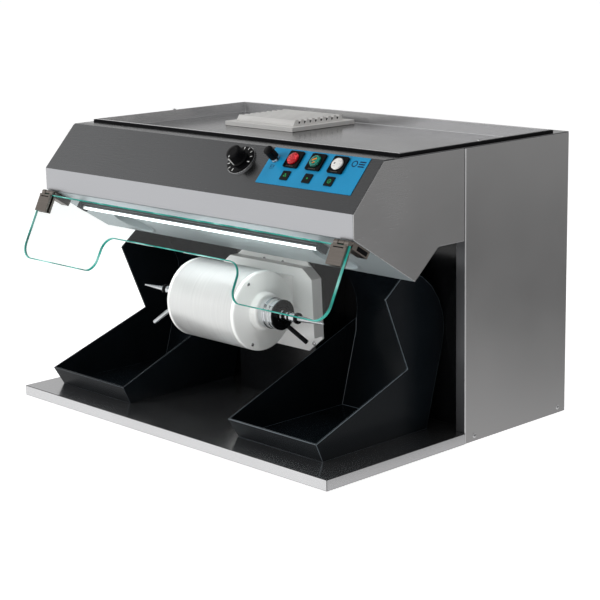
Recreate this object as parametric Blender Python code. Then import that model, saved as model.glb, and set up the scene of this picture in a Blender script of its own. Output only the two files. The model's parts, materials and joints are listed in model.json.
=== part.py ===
"""Bench polishing unit with dust extraction, built as separate named pieces.

A sheet-steel cabinet and hood stand on a shallow base pan. A double-ended polishing motor sits between
two loose dust trays, under a lamp and a hinged glass shield. Suction ports in the hood lead to a filter
and a blower inside the cabinet, and the clean air leaves through a louvred vent in the top tray.

Units are metres, +Z up, +X to the operator's right, and the operator stands at -Y.
Fixed pieces are drawn in the front frame: x, the set-back from the base's front edge, and z.
"""
import math

import bmesh
import bpy
from mathutils import Matrix, Vector

# Driving dimensions
WIDTH = 0.800              # over the two side panels
DEPTH = 0.595              # base front edge to the rear flanges
HEIGHT = 0.497             # top of the hood
BASE_HEIGHT = 0.0186
SHEET = 0.0015             # steel sheet thickness
GAP = 0.0003               # clearance between pieces that touch
CABINET_FRONT = 0.3255     # set-back of the side panels' front edges
BULKHEAD_FRONT = 0.350
SIDE_FLANGE = 0.020

# Hood profile, as (set-back, height)
HOOD_INSET = 0.0018
HOOD_TOP_FRONT = (0.139, HEIGHT)
LIP_TOP = (0.069, 0.4214)
LIP_BOTTOM = (0.069, 0.3818)
HOOD_VERTEX = (0.2056, 0.296)
HOOD_FLOOR_BEND = (0.2615, 0.3443)

# Motor and spindle
SPINDLE_SETBACK = 0.163
SPINDLE_HEIGHT = 0.2086
MOTOR_RADIUS = 0.0695
MOTOR_HALF_LENGTH = 0.088
SHAFT_RADIUS = 0.010
SPINDLE_TIP = 0.2348       # distance of each spindle tip from the middle

# Dust trays: centre in x, as each one stands
TRAY_CENTRES = {"left": -0.2586, "right": 0.2330}
TRAY_SHEET = 0.003

# Glass shield
GLASS_HALF_WIDTH = 0.399
GLASS_DROP = 0.128         # hinge axis to the lower edge
GLASS_THICKNESS = 0.004
GLASS_LEAN = math.atan(0.496)
HINGE_SETBACK = 0.0621
HINGE_HEIGHT = 0.378

# Top tray, vent and blower
LID_HALF_WIDTH = 0.388
LID_FRONT = 0.183
LID_BACK = 0.5584
LID_RIM = 0.0054           # rim height above the hood
LID_FLOOR = 0.482
VENT_CENTRE = (-0.149, 0.4565)
VENT_SIZE = (0.185, 0.161)
VENT_COVER_SIZE = (0.156, 0.127)
LOUVRES = 9

SIDES = {"left": -1, "right": 1}
THROUGH = (-0.01, 0.01)    # a cutter's reach either side of a sheet


def clear_scene():
    for old in list(bpy.data.objects):
        bpy.data.objects.remove(old, do_unlink=True)


# ---------------------------------------------------------------- frames
def front_point(x, setback, z):
    return Vector((x, setback - DEPTH / 2, z))


def frame_at(origin, x_axis, y_axis):
    """A matrix whose local x and y run along the given directions."""
    x_axis = Vector(x_axis).normalized()
    y_axis = Vector(y_axis).normalized()
    z_axis = x_axis.cross(y_axis)
    turn = Matrix((x_axis, y_axis, z_axis)).transposed()
    return Matrix.Translation(origin) @ turn.to_4x4()


FRONT = Matrix.Translation(front_point(0, 0, 0))

# On the sloped fascia: local x along the hood, y up the slope from its lower edge, z out of it.
FASCIA = frame_at(front_point(0, *LIP_TOP), (1, 0, 0),
                  (0, HOOD_TOP_FRONT[0] - LIP_TOP[0], HOOD_TOP_FRONT[1] - LIP_TOP[1]))

# On the hood's underside: local y runs back and down from the lip, z runs up into the hood.
UNDERSIDE = frame_at(front_point(0, *LIP_BOTTOM), (1, 0, 0),
                     (0, HOOD_VERTEX[0] - LIP_BOTTOM[0], HOOD_VERTEX[1] - LIP_BOTTOM[1]))
UNDERSIDE_LENGTH = math.dist(HOOD_VERTEX, LIP_BOTTOM)

# On the glass door: local y runs down the glass from the hinge axis, z towards the operator.
DOOR = frame_at(front_point(0, HINGE_SETBACK, HINGE_HEIGHT), (-1, 0, 0),
                (0, -math.sin(GLASS_LEAN), -math.cos(GLASS_LEAN)))

# On the spindle: local axes as the world's, with the origin on the axis at the motor's middle.
SPINDLE = Matrix.Translation(front_point(0, SPINDLE_SETBACK, SPINDLE_HEIGHT))

# Turned pieces are drawn about local x, so this stands one up about z.
UPRIGHT = Matrix.Rotation(-math.pi / 2, 4, "Y")


# ---------------------------------------------------------------- materials
def material(name, colour, roughness, metallic=0.0, alpha=1.0):
    made = bpy.data.materials.new(name)
    made.use_nodes = True
    shader = made.node_tree.nodes["Principled BSDF"]
    shader.inputs["Base Color"].default_value = (*colour, 1)
    shader.inputs["Roughness"].default_value = roughness
    shader.inputs["Metallic"].default_value = metallic
    shader.inputs["Alpha"].default_value = alpha
    return made


def make_materials():
    return {
        "stainless": material("stainless", (0.52, 0.53, 0.54), 0.35, 1),
        "dark_steel": material("dark_steel", (0.20, 0.21, 0.22), 0.45, 0.8),
        "black_steel": material("black_steel", (0.02, 0.02, 0.022), 0.5),
        "silver": material("silver", (0.75, 0.76, 0.75), 0.4, 0.6),
        "chrome": material("chrome", (0.8, 0.8, 0.82), 0.1, 1),
        "tray_plastic": material("tray_plastic", (0.02, 0.022, 0.026), 0.35),
        "black_plastic": material("black_plastic", (0.015, 0.015, 0.015), 0.4),
        "vent_plastic": material("vent_plastic", (0.72, 0.72, 0.70), 0.5),
        "label": material("label", (0.06, 0.42, 0.70), 0.4),
        "red_lens": material("red_lens", (0.8, 0.03, 0.03), 0.2),
        "green_lens": material("green_lens", (0.05, 0.4, 0.2), 0.2),
        "white_lens": material("white_lens", (0.85, 0.85, 0.8), 0.3),
        "glass": material("glass", (0.75, 0.95, 0.9), 0.02, 0, 0.3),
        "lamp": material("lamp", (0.95, 0.97, 1.0), 0.3),
        "rubber": material("rubber", (0.03, 0.03, 0.03), 0.7),
        "clamp_metal": material("clamp_metal", (0.42, 0.38, 0.35), 0.35, 1),
        "filter_cloth": material("filter_cloth", (0.8, 0.8, 0.76), 0.9),
        "copper_steel": material("copper_steel", (0.45, 0.3, 0.2), 0.4, 0.8),
    }


# ---------------------------------------------------------------- modelling tools
def finish(name, bm, look, place=FRONT):
    bmesh.ops.recalc_face_normals(bm, faces=bm.faces)
    mesh = bpy.data.meshes.new(name)
    bm.to_mesh(mesh)
    bm.free()
    if look:
        mesh.materials.append(look)
    made = bpy.data.objects.new(name, mesh)
    bpy.context.collection.objects.link(made)
    made.matrix_world = place
    return made


def prism(name, outline, axis, low, high, look=None, place=FRONT):
    """An outline of 2-D points, in the two other axes' order, stretched along an axis."""
    spread = {
        "X": lambda a, b: (low, a, b),
        "Y": lambda a, b: (a, low, b),
        "Z": lambda a, b: (a, b, low),
    }[axis]
    run = Vector([high - low if letter == axis else 0 for letter in "XYZ"])
    bm = bmesh.new()
    face = bm.faces.new([bm.verts.new(spread(*point)) for point in outline])
    swept = bmesh.ops.extrude_face_region(bm, geom=[face], use_keep_orig=True)
    moved = [item for item in swept["geom"] if isinstance(item, bmesh.types.BMVert)]
    bmesh.ops.translate(bm, vec=run, verts=moved)
    return finish(name, bm, look, place)


def box(name, x_range, y_range, z_range, look=None, place=FRONT):
    corners = rectangle(x_range, y_range)
    return prism(name, corners, "Z", z_range[0], z_range[1], look, place)


def rectangle(x_range, y_range):
    low_x, high_x = x_range
    low_y, high_y = y_range
    return [(low_x, low_y), (high_x, low_y), (high_x, high_y), (low_x, high_y)]


def centred(centre, size):
    """A rectangle about a centre point."""
    half_x, half_y = size[0] / 2, size[1] / 2
    return rectangle((centre[0] - half_x, centre[0] + half_x), (centre[1] - half_y, centre[1] + half_y))


def turned(name, profile, look=None, place=SPINDLE, steps=24):
    """A closed profile of (along, radius) points turned about local x."""
    bm = bmesh.new()
    verts = [bm.verts.new((along, 0, radius)) for along, radius in profile]
    edges = []
    for index, vert in enumerate(verts):
        following = verts[(index + 1) % len(verts)]
        if vert.co.z > 0 or following.co.z > 0:
            edges.append(bm.edges.new((vert, following)))
    bmesh.ops.spin(bm, geom=verts + edges, cent=(0, 0, 0), axis=(1, 0, 0), angle=2 * math.pi, steps=steps)
    bmesh.ops.remove_doubles(bm, verts=bm.verts, dist=1e-6)
    return finish(name, bm, look, place)


def ring(name, along, inner, outer, look=None, place=SPINDLE, steps=24):
    profile = [(along[0], inner), (along[0], outer), (along[1], outer), (along[1], inner)]
    return turned(name, profile, look, place, steps)


def disc(name, along, radius, look=None, place=SPINDLE, steps=24):
    profile = [(along[0], 0), (along[0], radius), (along[1], radius), (along[1], 0)]
    return turned(name, profile, look, place, steps)


def folded(points, thickness):
    """The closed outline of a folded sheet: its outer line and the inner line on its left."""
    inner = []
    for index, point in enumerate(points):
        here = Vector(point)
        lefts = []
        for start, end in ((index - 1, index), (index, index + 1)):
            if start < 0 or end >= len(points):
                continue
            step = (Vector(points[end]) - Vector(points[start])).normalized()
            lefts.append(Vector((-step.y, step.x)))
        if len(lefts) == 1:
            lefts.append(lefts[0])
        mitre = (lefts[0] + lefts[1]) / (1 + lefts[0].dot(lefts[1]))
        inner.append(tuple(here + mitre * thickness))
    return list(points) + inner[::-1]


def arc(centre, radius, start, end, steps):
    """Points along an arc; angles in degrees."""
    angles = [math.radians(start + (end - start) * step / steps) for step in range(steps + 1)]
    return [(centre[0] + radius * math.cos(angle), centre[1] + radius * math.sin(angle)) for angle in angles]


def rounded_rectangle(half_x, half_y, radius, steps=4):
    outline = []
    for corner, (side_x, side_y) in enumerate(((1, 1), (-1, 1), (-1, -1), (1, -1))):
        centre = (side_x * (half_x - radius), side_y * (half_y - radius))
        outline += arc(centre, radius, 90 * corner, 90 * corner + 90, steps)
    return outline


def combine(target, tool, operation):
    tool.hide_render = True
    tool.display_type = "WIRE"
    modifier = target.modifiers.new(tool.name, "BOOLEAN")
    modifier.operation = operation
    modifier.object = tool


def cut(target, tool):
    combine(target, tool, "DIFFERENCE")


def join(target, tool):
    combine(target, tool, "UNION")


def pivot(name, place):
    """An empty on a joint's axis, which the moving pieces hang from."""
    made = bpy.data.objects.new(name, None)
    made.matrix_world = place
    bpy.context.collection.objects.link(made)
    return made


def hang(piece, parent):
    """Parent a piece without moving it."""
    piece.parent = parent
    piece.matrix_parent_inverse = parent.matrix_world.inverted()


# ---------------------------------------------------------------- cabinet
BASE_OVERHANG = 0.0012     # the pan's front part is this much wider than the side panels, each side
PANEL_INNER = WIDTH / 2 - SHEET
REAR_PANEL_BACK = DEPTH - SHEET - GAP
REAR_PANEL_FRONT = REAR_PANEL_BACK - SHEET
TOP_UNDER = HEIGHT - SHEET - GAP


def pan_outline(inset):
    """The base pan seen from above: full width in front, between the side panels behind."""
    wide = WIDTH / 2 + BASE_OVERHANG - inset
    narrow = PANEL_INNER - GAP - inset
    step = CABINET_FRONT - GAP - inset
    back = REAR_PANEL_FRONT - GAP - inset
    return [(-wide, inset), (wide, inset), (wide, step), (narrow, step),
            (narrow, back), (-narrow, back), (-narrow, step), (-wide, step)]


def make_base_pan(looks):
    pan = prism("base_pan", pan_outline(0), "Z", 0, BASE_HEIGHT, looks["stainless"])
    cut(pan, prism("base_pan_hollow", pan_outline(SHEET), "Z", -SHEET, BASE_HEIGHT - SHEET))


def make_side_panels(looks):
    for name, side in SIDES.items():
        outer = side * WIDTH / 2
        front = side * (WIDTH / 2 - SIDE_FLANGE)
        line = [(front, CABINET_FRONT), (outer, CABINET_FRONT), (outer, DEPTH), (front, DEPTH)]
        if side < 0:
            line = line[::-1]
        panel = prism(f"side_panel_{name}", folded(line, SHEET), "Z", 0, TOP_UNDER, looks["stainless"])
        notch = sorted((side * (WIDTH / 2 - 2 * SIDE_FLANGE), side * PANEL_INNER))
        cut(panel, box(f"pan_notch_{name}", notch, (0, 2 * DEPTH), (-0.01, BASE_HEIGHT + GAP)))
        cut(panel, box(f"lid_notch_{name}", notch, (0, LID_BACK), (LID_FLOOR - SHEET - GAP, HEIGHT)))


def make_rear_panel(looks):
    half = PANEL_INNER - GAP
    outline = rectangle((-half, half), (0, TOP_UNDER))
    panel = prism("rear_panel", outline, "Y", REAR_PANEL_FRONT, REAR_PANEL_BACK, looks["stainless"])
    hole = centred(INLET_CENTRE, (INLET_BODY[0] + 2 * GAP, INLET_BODY[1] + 2 * GAP))
    cut(panel, prism("inlet_opening", hole, "Y", DEPTH - 0.02, DEPTH + 0.02))


def make_bulkhead(looks):
    """The dark wall behind the trays, folded forward at the top to meet the hood's floor."""
    half = PANEL_INNER - GAP
    back = BULKHEAD_FRONT + SHEET
    top = HOOD_FLOOR_BEND[1] + SHEET
    line = [(back, BASE_HEIGHT + GAP), (back, top), (CABINET_FRONT + SHEET + GAP, top)]
    prism("bulkhead", folded(line, SHEET), "X", -half, half, looks["black_steel"])


# The mains inlet: a moulded socket whose flange lies on the rear panel
INLET_CENTRE = (0.300, 0.070)
INLET_BODY = (0.028, 0.048)
INLET_FLANGE = (0.034, 0.060)


def make_mains_inlet(looks):
    face = REAR_PANEL_BACK + SHEET
    outline = centred(INLET_CENTRE, INLET_BODY)
    body = prism("mains_inlet", outline, "Y", DEPTH - 0.035, face, looks["black_plastic"])
    flange = prism("inlet_flange", centred(INLET_CENTRE, INLET_FLANGE), "Y", REAR_PANEL_BACK + GAP, face)
    join(body, flange)
    socket = (INLET_BODY[0] - 0.008, INLET_BODY[1] - 0.016)
    cut(body, prism("inlet_socket", centred(INLET_CENTRE, socket), "Y", DEPTH - 0.022, DEPTH + 0.01))


# ---------------------------------------------------------------- hood
HOOD_HALF_WIDTH = WIDTH / 2 - HOOD_INSET
CHEEK_INNER = HOOD_HALF_WIDTH - SHEET
SHEET_HALF_WIDTH = CHEEK_INNER - GAP
FASCIA_RETURN = 0.160      # set-back where the fascia's top fold meets the top frame


def make_hood_cheeks(looks):
    back = CABINET_FRONT - GAP
    top = TOP_UNDER
    slope = (HOOD_TOP_FRONT[0] - LIP_TOP[0]) / (HOOD_TOP_FRONT[1] - LIP_TOP[1])
    front = HOOD_TOP_FRONT[0] - slope * (HEIGHT - top)
    outline = [(front, top), LIP_TOP, LIP_BOTTOM, HOOD_VERTEX, HOOD_FLOOR_BEND,
               (back, HOOD_FLOOR_BEND[1]), (back, top)]
    for name, side in SIDES.items():
        faces = sorted((side * CHEEK_INNER, side * HOOD_HALF_WIDTH))
        prism(f"hood_cheek_{name}", outline, "X", faces[0], faces[1], looks["stainless"])


def make_fascia(looks):
    line = [(FASCIA_RETURN, HEIGHT), HOOD_TOP_FRONT, LIP_TOP, LIP_BOTTOM]
    outline = folded(line, SHEET)
    fascia = prism("fascia", outline, "X", -SHEET_HALF_WIDTH, SHEET_HALF_WIDTH, looks["dark_steel"])
    for name, x in BUTTONS.items():
        hole = disc(f"fascia_hole_{name}", THROUGH, BARREL_RADIUS + GAP, place=on_fascia(x, BUTTON_ROW))
        cut(fascia, hole)
    cut(fascia, disc("fascia_hole_dial", THROUGH, DIAL_STEM + GAP, place=on_fascia(*DIAL)))
    cut(fascia, disc("fascia_hole_small_knob", THROUGH, KNOB_STEM + GAP, place=on_fascia(*SMALL_KNOB)))


PORT_X = 0.262
PORT_ALONG = 0.112
PORT_RADIUS = 0.040
PORT_FLANGE = 0.044
PORT_DEPTH = 0.035


def on_underside(x, along):
    """A frame on the hood's underside whose local x runs up into the hood."""
    return UNDERSIDE @ Matrix.Translation((x, along, 0)) @ UPRIGHT


def make_hood_underside(looks):
    start = 2 * SHEET
    outer = PORT_RADIUS - GAP
    inner = outer - SHEET
    panel = box("hood_underside", (-SHEET_HALF_WIDTH, SHEET_HALF_WIDTH), (start, UNDERSIDE_LENGTH),
                (0, SHEET), looks["stainless"], UNDERSIDE)
    for name, side in SIDES.items():
        place = on_underside(side * PORT_X, PORT_ALONG)
        cut(panel, disc(f"port_hole_{name}", THROUGH, PORT_RADIUS, place=place))
        profile = [(-SHEET, inner), (-SHEET, PORT_FLANGE), (-GAP, PORT_FLANGE), (-GAP, outer),
                   (PORT_DEPTH, outer), (PORT_DEPTH, inner)]
        turned(f"suction_port_{name}", profile, looks["stainless"], place)


def make_hood_floor(looks):
    step = Vector(HOOD_FLOOR_BEND) - Vector(HOOD_VERTEX)
    start = Vector(HOOD_VERTEX) + step.normalized() * 2 * SHEET
    line = [tuple(start), HOOD_FLOOR_BEND, (CABINET_FRONT - GAP, HOOD_FLOOR_BEND[1])]
    prism("hood_floor", folded(line, SHEET), "X", -SHEET_HALF_WIDTH, SHEET_HALF_WIDTH, looks["stainless"])


GASKET_WIDTH = 0.0037
GASKET_TOP = HEIGHT + 0.0045


def make_top(looks):
    step = CABINET_FRONT - GAP
    front = FASCIA_RETURN + GAP
    narrow, wide = HOOD_HALF_WIDTH, WIDTH / 2
    outline = [(-narrow, front), (narrow, front), (narrow, step), (wide, step),
               (wide, DEPTH), (-wide, DEPTH), (-wide, step), (-narrow, step)]
    frame = prism("top_frame", outline, "Z", HEIGHT - SHEET, HEIGHT, looks["stainless"])
    opening = lid_rectangle(GASKET_WIDTH + GAP)
    cut(frame, prism("lid_opening", opening, "Z", HEIGHT - 0.01, HEIGHT + 0.01))
    strip = lid_rectangle(GASKET_WIDTH)
    gasket = prism("lid_gasket", strip, "Z", HEIGHT - SHEET, GASKET_TOP, looks["rubber"])
    cut(gasket, prism("gasket_opening", lid_rectangle(GAP), "Z", HEIGHT - 0.01, HEIGHT + 0.01))
    lid = prism("lid_tray", lid_rectangle(0), "Z", LID_FLOOR - SHEET, HEIGHT + LID_RIM, looks["stainless"])
    cut(lid, prism("lid_recess", lid_rectangle(-SHEET), "Z", LID_FLOOR, HEIGHT + 0.02))
    cut(lid, disc("lid_air_hole", THROUGH, DUCT_RADIUS - 0.002, place=vent_axis(LID_FLOOR)))


def lid_rectangle(margin):
    reach = LID_HALF_WIDTH + margin
    return rectangle((-reach, reach), (LID_FRONT - margin, LID_BACK + margin))


# ---------------------------------------------------------------- vent and extraction
DUCT_RADIUS = 0.054


def vent_axis(height):
    """A frame on the vent's upright axis whose local x points up."""
    return Matrix.Translation(front_point(*VENT_CENTRE, height)) @ UPRIGHT


VENT_BASE_TOP = LID_FLOOR + 0.0086
VENT_COVER_TOP = LID_FLOOR + 0.0195
VENT_OPENING = (0.128, 0.112)
MAT_THICKNESS = 0.0075
COVER_WALL = 0.003
LOUVRE_DROP = 0.006        # how far each louvre falls from its ridge to the next one's foot
SLOT_MARGIN = 0.008
SLOT_WIDTH = 0.003


def make_vent(looks):
    outer = centred(VENT_CENTRE, VENT_SIZE)
    base = prism("vent_base", outer, "Z", LID_FLOOR + GAP, VENT_BASE_TOP, looks["vent_plastic"])
    cut(base, prism("vent_base_opening", centred(VENT_CENTRE, VENT_OPENING), "Z", LID_FLOOR - 0.01, HEIGHT))
    mat = centred(VENT_CENTRE, (VENT_OPENING[0] - 0.001, VENT_OPENING[1] - 0.001))
    prism("filter_mat", mat, "Z", LID_FLOOR + GAP, LID_FLOOR + MAT_THICKNESS, looks["filter_cloth"])

    bottom = VENT_BASE_TOP + GAP
    half_x, half_y = VENT_COVER_SIZE[0] / 2, VENT_COVER_SIZE[1] / 2
    hinge = Matrix.Translation(front_point(VENT_CENTRE[0], VENT_CENTRE[1] + half_y, bottom))
    pitch = 2 * half_y / LOUVRES
    tooth_top = VENT_COVER_TOP - bottom
    tooth_foot = tooth_top - LOUVRE_DROP
    outline = [(0, 0), (0, tooth_top)]
    for louvre in range(LOUVRES):
        rear = -louvre * pitch
        outline += [(rear - 0.35 * pitch, tooth_top), (rear - pitch, tooth_foot)]
        if louvre < LOUVRES - 1:
            outline.append((rear - pitch, tooth_top))
    outline.append((-2 * half_y, 0))
    cover = prism("vent_cover", outline, "X", -half_x, half_x, looks["vent_plastic"], hinge)
    wall = COVER_WALL
    hollow = rectangle((-half_x + wall, half_x - wall), (-2 * half_y + wall, -wall))
    cut(cover, prism("cover_hollow", hollow, "Z", -0.01, 0.0025, place=hinge))
    for louvre in range(1, LOUVRES):
        slot_front = 0.0005 - louvre * pitch
        slot = rectangle((SLOT_MARGIN - half_x, half_x - SLOT_MARGIN), (slot_front, slot_front + SLOT_WIDTH))
        cut(cover, prism(f"louvre_slot_{louvre}", slot, "Z", -0.01, 0.02, place=hinge))


def make_extraction(looks):
    ring("exhaust_duct", (-0.042, -SHEET - GAP), DUCT_RADIUS, DUCT_RADIUS + 0.002, looks["black_plastic"],
         vent_axis(LID_FLOOR))
    disc("blower_motor", (0.0625, 0.108), 0.042, looks["silver"], vent_axis(IMPELLER_FOOT))
    make_impeller(looks)
    nozzle = [(-0.024, 0.098), (-0.022, 0.098), (-0.022, 0.062), (-0.006, 0.050), (-0.006, 0.0475),
              (-0.024, 0.060)]
    turned("blower_inlet_plate", nozzle, looks["black_steel"], vent_axis(IMPELLER_FOOT))
    make_filter(looks)


IMPELLER_FOOT = 0.345
IMPELLER_BLADES = 8
FILTER_PLEATS = 20

# One blade's edge as (radius, angle in radians): out along its back, in along its front
BLADE_EDGE = ((0.030, -0.12), (0.060, -0.22), (0.090, -0.48), (0.090, -0.44), (0.060, -0.16), (0.030, 0.0))


def make_impeller(looks):
    """A hub with backward-curved blades, closed above by a disc."""
    outline = []
    for blade in range(IMPELLER_BLADES):
        turn = 2 * math.pi * blade / IMPELLER_BLADES
        for radius, offset in BLADE_EDGE:
            outline.append((radius * math.cos(turn + offset), radius * math.sin(turn + offset)))
    place = Matrix.Translation(front_point(*VENT_CENTRE, IMPELLER_FOOT))
    impeller = prism("blower_impeller", outline, "Z", 0, 0.055, looks["black_plastic"], place)
    join(impeller, disc("impeller_disc", (0.054, 0.0615), 0.092, place=vent_axis(IMPELLER_FOOT)))


def make_filter(looks):
    """A round pleated cartridge, open in the middle and below."""
    outer = [radius_point(0.086 if index % 2 else 0.070, index, 2 * FILTER_PLEATS)
             for index in range(2 * FILTER_PLEATS)]
    place = Matrix.Translation(front_point(*VENT_CENTRE, 0))
    cartridge = prism("filter_cartridge", outer, "Z", 0.120, 0.320, looks["filter_cloth"], place)
    cut(cartridge, disc("filter_core", (0.1, 0.33), 0.058, place=vent_axis(0)))


def radius_point(radius, index, count):
    angle = 2 * math.pi * index / count
    return (radius * math.cos(angle), radius * math.sin(angle))


# ---------------------------------------------------------------- controls on the fascia
BUTTONS = {"red": 0.2130, "green": 0.2637, "white": 0.3131}
BUTTON_ROW = 0.0822        # distance up the slope
WINDOW_ROW = 0.0512
BEZEL_SIZE = 0.032
BEZEL_TOP = 0.0046
BARREL_RADIUS = 0.011
WINDOW_SIZE = 0.0176
LABEL_X = (0.1548, 0.3702)
LABEL_UP = (0.0322, 0.1022)
LABEL_THICKNESS = 0.0005
DIAL = (0.095, 0.069)
SMALL_KNOB = (0.1708, 0.0808)
DIAL_STEM = 0.005
KNOB_STEM = 0.004
COLLAR_RADIUS = 0.0075


def on_fascia(x, up):
    """A frame on the fascia whose local x points out of it."""
    return FASCIA @ Matrix.Translation((x, up, 0)) @ UPRIGHT


def flat_on_fascia(x, up):
    return FASCIA @ Matrix.Translation((x, up, 0))


def make_label(looks):
    top = GAP + LABEL_THICKNESS
    label = box("control_label", LABEL_X, LABEL_UP, (GAP, top), looks["label"], FASCIA)
    for name, x in BUTTONS.items():
        cut(label, disc(f"label_hole_{name}", THROUGH, BARREL_RADIUS + GAP, place=on_fascia(x, BUTTON_ROW)))
    cut(label, disc("label_hole_knob", THROUGH, COLLAR_RADIUS + GAP, place=on_fascia(*SMALL_KNOB)))


def make_buttons(looks):
    seat = 2 * GAP + LABEL_THICKNESS
    square = rounded_rectangle(BEZEL_SIZE / 2, BEZEL_SIZE / 2, 0.003)
    window = rounded_rectangle(WINDOW_SIZE / 2, WINDOW_SIZE / 2, 0.0015, 2)
    for name, x in BUTTONS.items():
        axis = on_fascia(x, BUTTON_ROW)
        bezel = prism(f"button_bezel_{name}", square, "Z", seat, BEZEL_TOP, looks["black_plastic"],
                      flat_on_fascia(x, BUTTON_ROW))
        join(bezel, disc(f"bezel_barrel_{name}", (-0.022, seat + 0.0005), BARREL_RADIUS, place=axis))
        cut(bezel, disc(f"bezel_bore_{name}", (-0.03, 0.01), 0.0092, place=axis))
        cut(bezel, disc(f"bezel_seat_{name}", (seat + 0.0005, 0.01), 0.0113, place=axis))
        lens = [(-0.012, 0), (-0.012, 0.0088), (0.0049, 0.0088), (0.0049, 0.0108), (0.0070, 0.0108),
                (0.0079, 0.0095), (0.0083, 0.0055), (0.0084, 0)]
        turned(f"button_cap_{name}", lens, looks[f"{name}_lens"], axis)
        prism(f"indicator_window_{name}", window, "Z", seat, seat + 0.0012, looks["black_plastic"],
              flat_on_fascia(x, WINDOW_ROW))


def make_dials(looks):
    axis = on_fascia(*DIAL)
    ring("dial_plate", (GAP, 0.0048), DIAL_STEM + GAP, 0.0265, looks["black_plastic"], axis)
    knob = [(-0.012, 0), (-0.012, DIAL_STEM), (0.0051, DIAL_STEM), (0.0051, 0.0155), (0.0245, 0.0142),
            (0.0263, 0.0128), (0.0263, 0)]
    body = turned("dial_knob", knob, looks["black_plastic"], axis)
    place = flat_on_fascia(*DIAL)
    cut(body, box("dial_pointer_notch", (-0.001, 0.001), (0.010, 0.02), (0.0253, 0.03), place=place))

    axis = on_fascia(*SMALL_KNOB)
    ring("small_knob_collar", (GAP, 0.0055), KNOB_STEM + GAP, COLLAR_RADIUS, looks["silver"], axis)
    knob = [(-0.012, 0), (-0.012, KNOB_STEM), (0.0058, KNOB_STEM), (0.0058, 0.0085), (0.026, 0.0085),
            (0.027, 0.0075), (0.027, 0)]
    body = turned("small_knob", knob, looks["black_plastic"], axis)
    place = flat_on_fascia(*SMALL_KNOB)
    cut(body, box("small_knob_notch", (-0.0006, 0.0006), (0.004, 0.01), (0.0263, 0.04), place=place))


# ---------------------------------------------------------------- lamp
LAMP_X = (-0.340, 0.296)
LAMP_ALONG = (0.037, 0.057)
LAMP_DEPTH = 0.013
LAMP_END = 0.008
TUBE_RADIUS = 0.0035
TUBE_LEVEL = -0.008


def make_lamp(looks):
    """A batten with an upstand at each end, and the tube held between them."""
    back, foot = -GAP, -0.004
    tip = -LAMP_DEPTH
    low, high = LAMP_X
    line = [(low, back), (low, tip), (low + LAMP_END, tip), (low + LAMP_END, foot),
            (high - LAMP_END, foot), (high - LAMP_END, tip), (high, tip), (high, back)]
    prism("lamp_batten", line, "Y", LAMP_ALONG[0], LAMP_ALONG[1], looks["silver"], UNDERSIDE)
    centre_along = sum(LAMP_ALONG) / 2
    place = UNDERSIDE @ Matrix.Translation((0, centre_along, TUBE_LEVEL))
    disc("lamp_tube", (low + LAMP_END + GAP, high - LAMP_END - GAP), TUBE_RADIUS, looks["lamp"], place)


# ---------------------------------------------------------------- motor
BEARING_RADIUS = 0.0195
ROTOR_RADIUS = 0.0375
HUB_RADIUS = 0.026
LEVER_TIPS = {"left": (0.171, 0.065), "right": (0.165, 0.056)}     # along the spindle, and out from it
LEVER_ANGLE = math.radians(30)


def mirrored(profile, side):
    """A turned profile, swapped end for end on the left."""
    return [(side * along, radius) for along, radius in profile]


def make_motor(looks):
    ring("motor_housing", (-0.080, 0.080), 0.062, MOTOR_RADIUS, looks["silver"], steps=36)
    ring("stator", (-0.045, 0.045), ROTOR_RADIUS + 0.0005, 0.0615, looks["copper_steel"])
    end = MOTOR_HALF_LENGTH
    cap = [(0.0803, MOTOR_RADIUS), (end - 0.006, MOTOR_RADIUS), (end - 0.0018, MOTOR_RADIUS - 0.0018),
           (end, MOTOR_RADIUS - 0.006), (end, 0.034), (0.099, 0.032), (0.101, 0.030), (0.101, 0.027),
           (0.117, 0.027), (0.117, 0.012), (0.0785, 0.012), (0.0785, BEARING_RADIUS + GAP),
           (0.060, BEARING_RADIUS + GAP), (0.060, 0.026), (0.0803, 0.026)]
    for name, side in SIDES.items():
        turned(f"motor_end_cap_{name}", mirrored(cap, side), looks["silver"], steps=36)
        along = sorted((side * 0.062, side * 0.0782))
        ring(f"bearing_{name}", along, SHAFT_RADIUS + GAP, BEARING_RADIUS, looks["chrome"])


def make_rotor(looks, axle):
    """The rotor's core is 0.5 mm clear of the stator, and a tapered spindle screws on at each end."""
    core, tip = 0.045, 0.130
    profile = [(-tip, 0), (-tip, SHAFT_RADIUS), (-core, SHAFT_RADIUS), (-core, ROTOR_RADIUS),
               (core, ROTOR_RADIUS), (core, SHAFT_RADIUS), (tip, SHAFT_RADIUS), (tip, 0)]
    hang(turned("rotor_shaft", profile, looks["copper_steel"]), axle)
    spindle = [(0.1303, 0), (0.1303, SHAFT_RADIUS), (0.139, SHAFT_RADIUS), (0.139, 0.008), (0.170, 0.008),
               (0.170, 0.0095), (0.175, 0.0095), (0.175, 0.006), (0.2335, 0.0013), (SPINDLE_TIP, 0)]
    for name, side in SIDES.items():
        hang(turned(f"spindle_{name}", mirrored(spindle, side), looks["chrome"]), axle)


def make_levers(looks):
    """Each release lever is a hub round the spindle with a rod that splays out and down."""
    hub = [(0.1173, 0.0125), (0.1173, HUB_RADIUS), (0.136, HUB_RADIUS), (0.137, HUB_RADIUS - 0.001),
           (0.137, 0.0125)]
    colours = {"left": "chrome", "right": "black_steel"}
    for name, side in SIDES.items():
        body = turned(f"release_lever_{name}", mirrored(hub, side), looks[colours[name]])
        out = Vector((0, side * math.sin(LEVER_ANGLE), -math.cos(LEVER_ANGLE)))
        root = Vector((side * 0.128, 0, 0)) + out * 0.019
        along, reach = LEVER_TIPS[name]
        tip = Vector((side * along, 0, 0)) + out * reach
        run = tip - root
        place = SPINDLE @ Matrix.Translation(root) @ run.to_track_quat("X", "Z").to_matrix().to_4x4()
        join(body, disc(f"lever_rod_{name}", (0, run.length), 0.004, place=place, steps=16))


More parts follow.
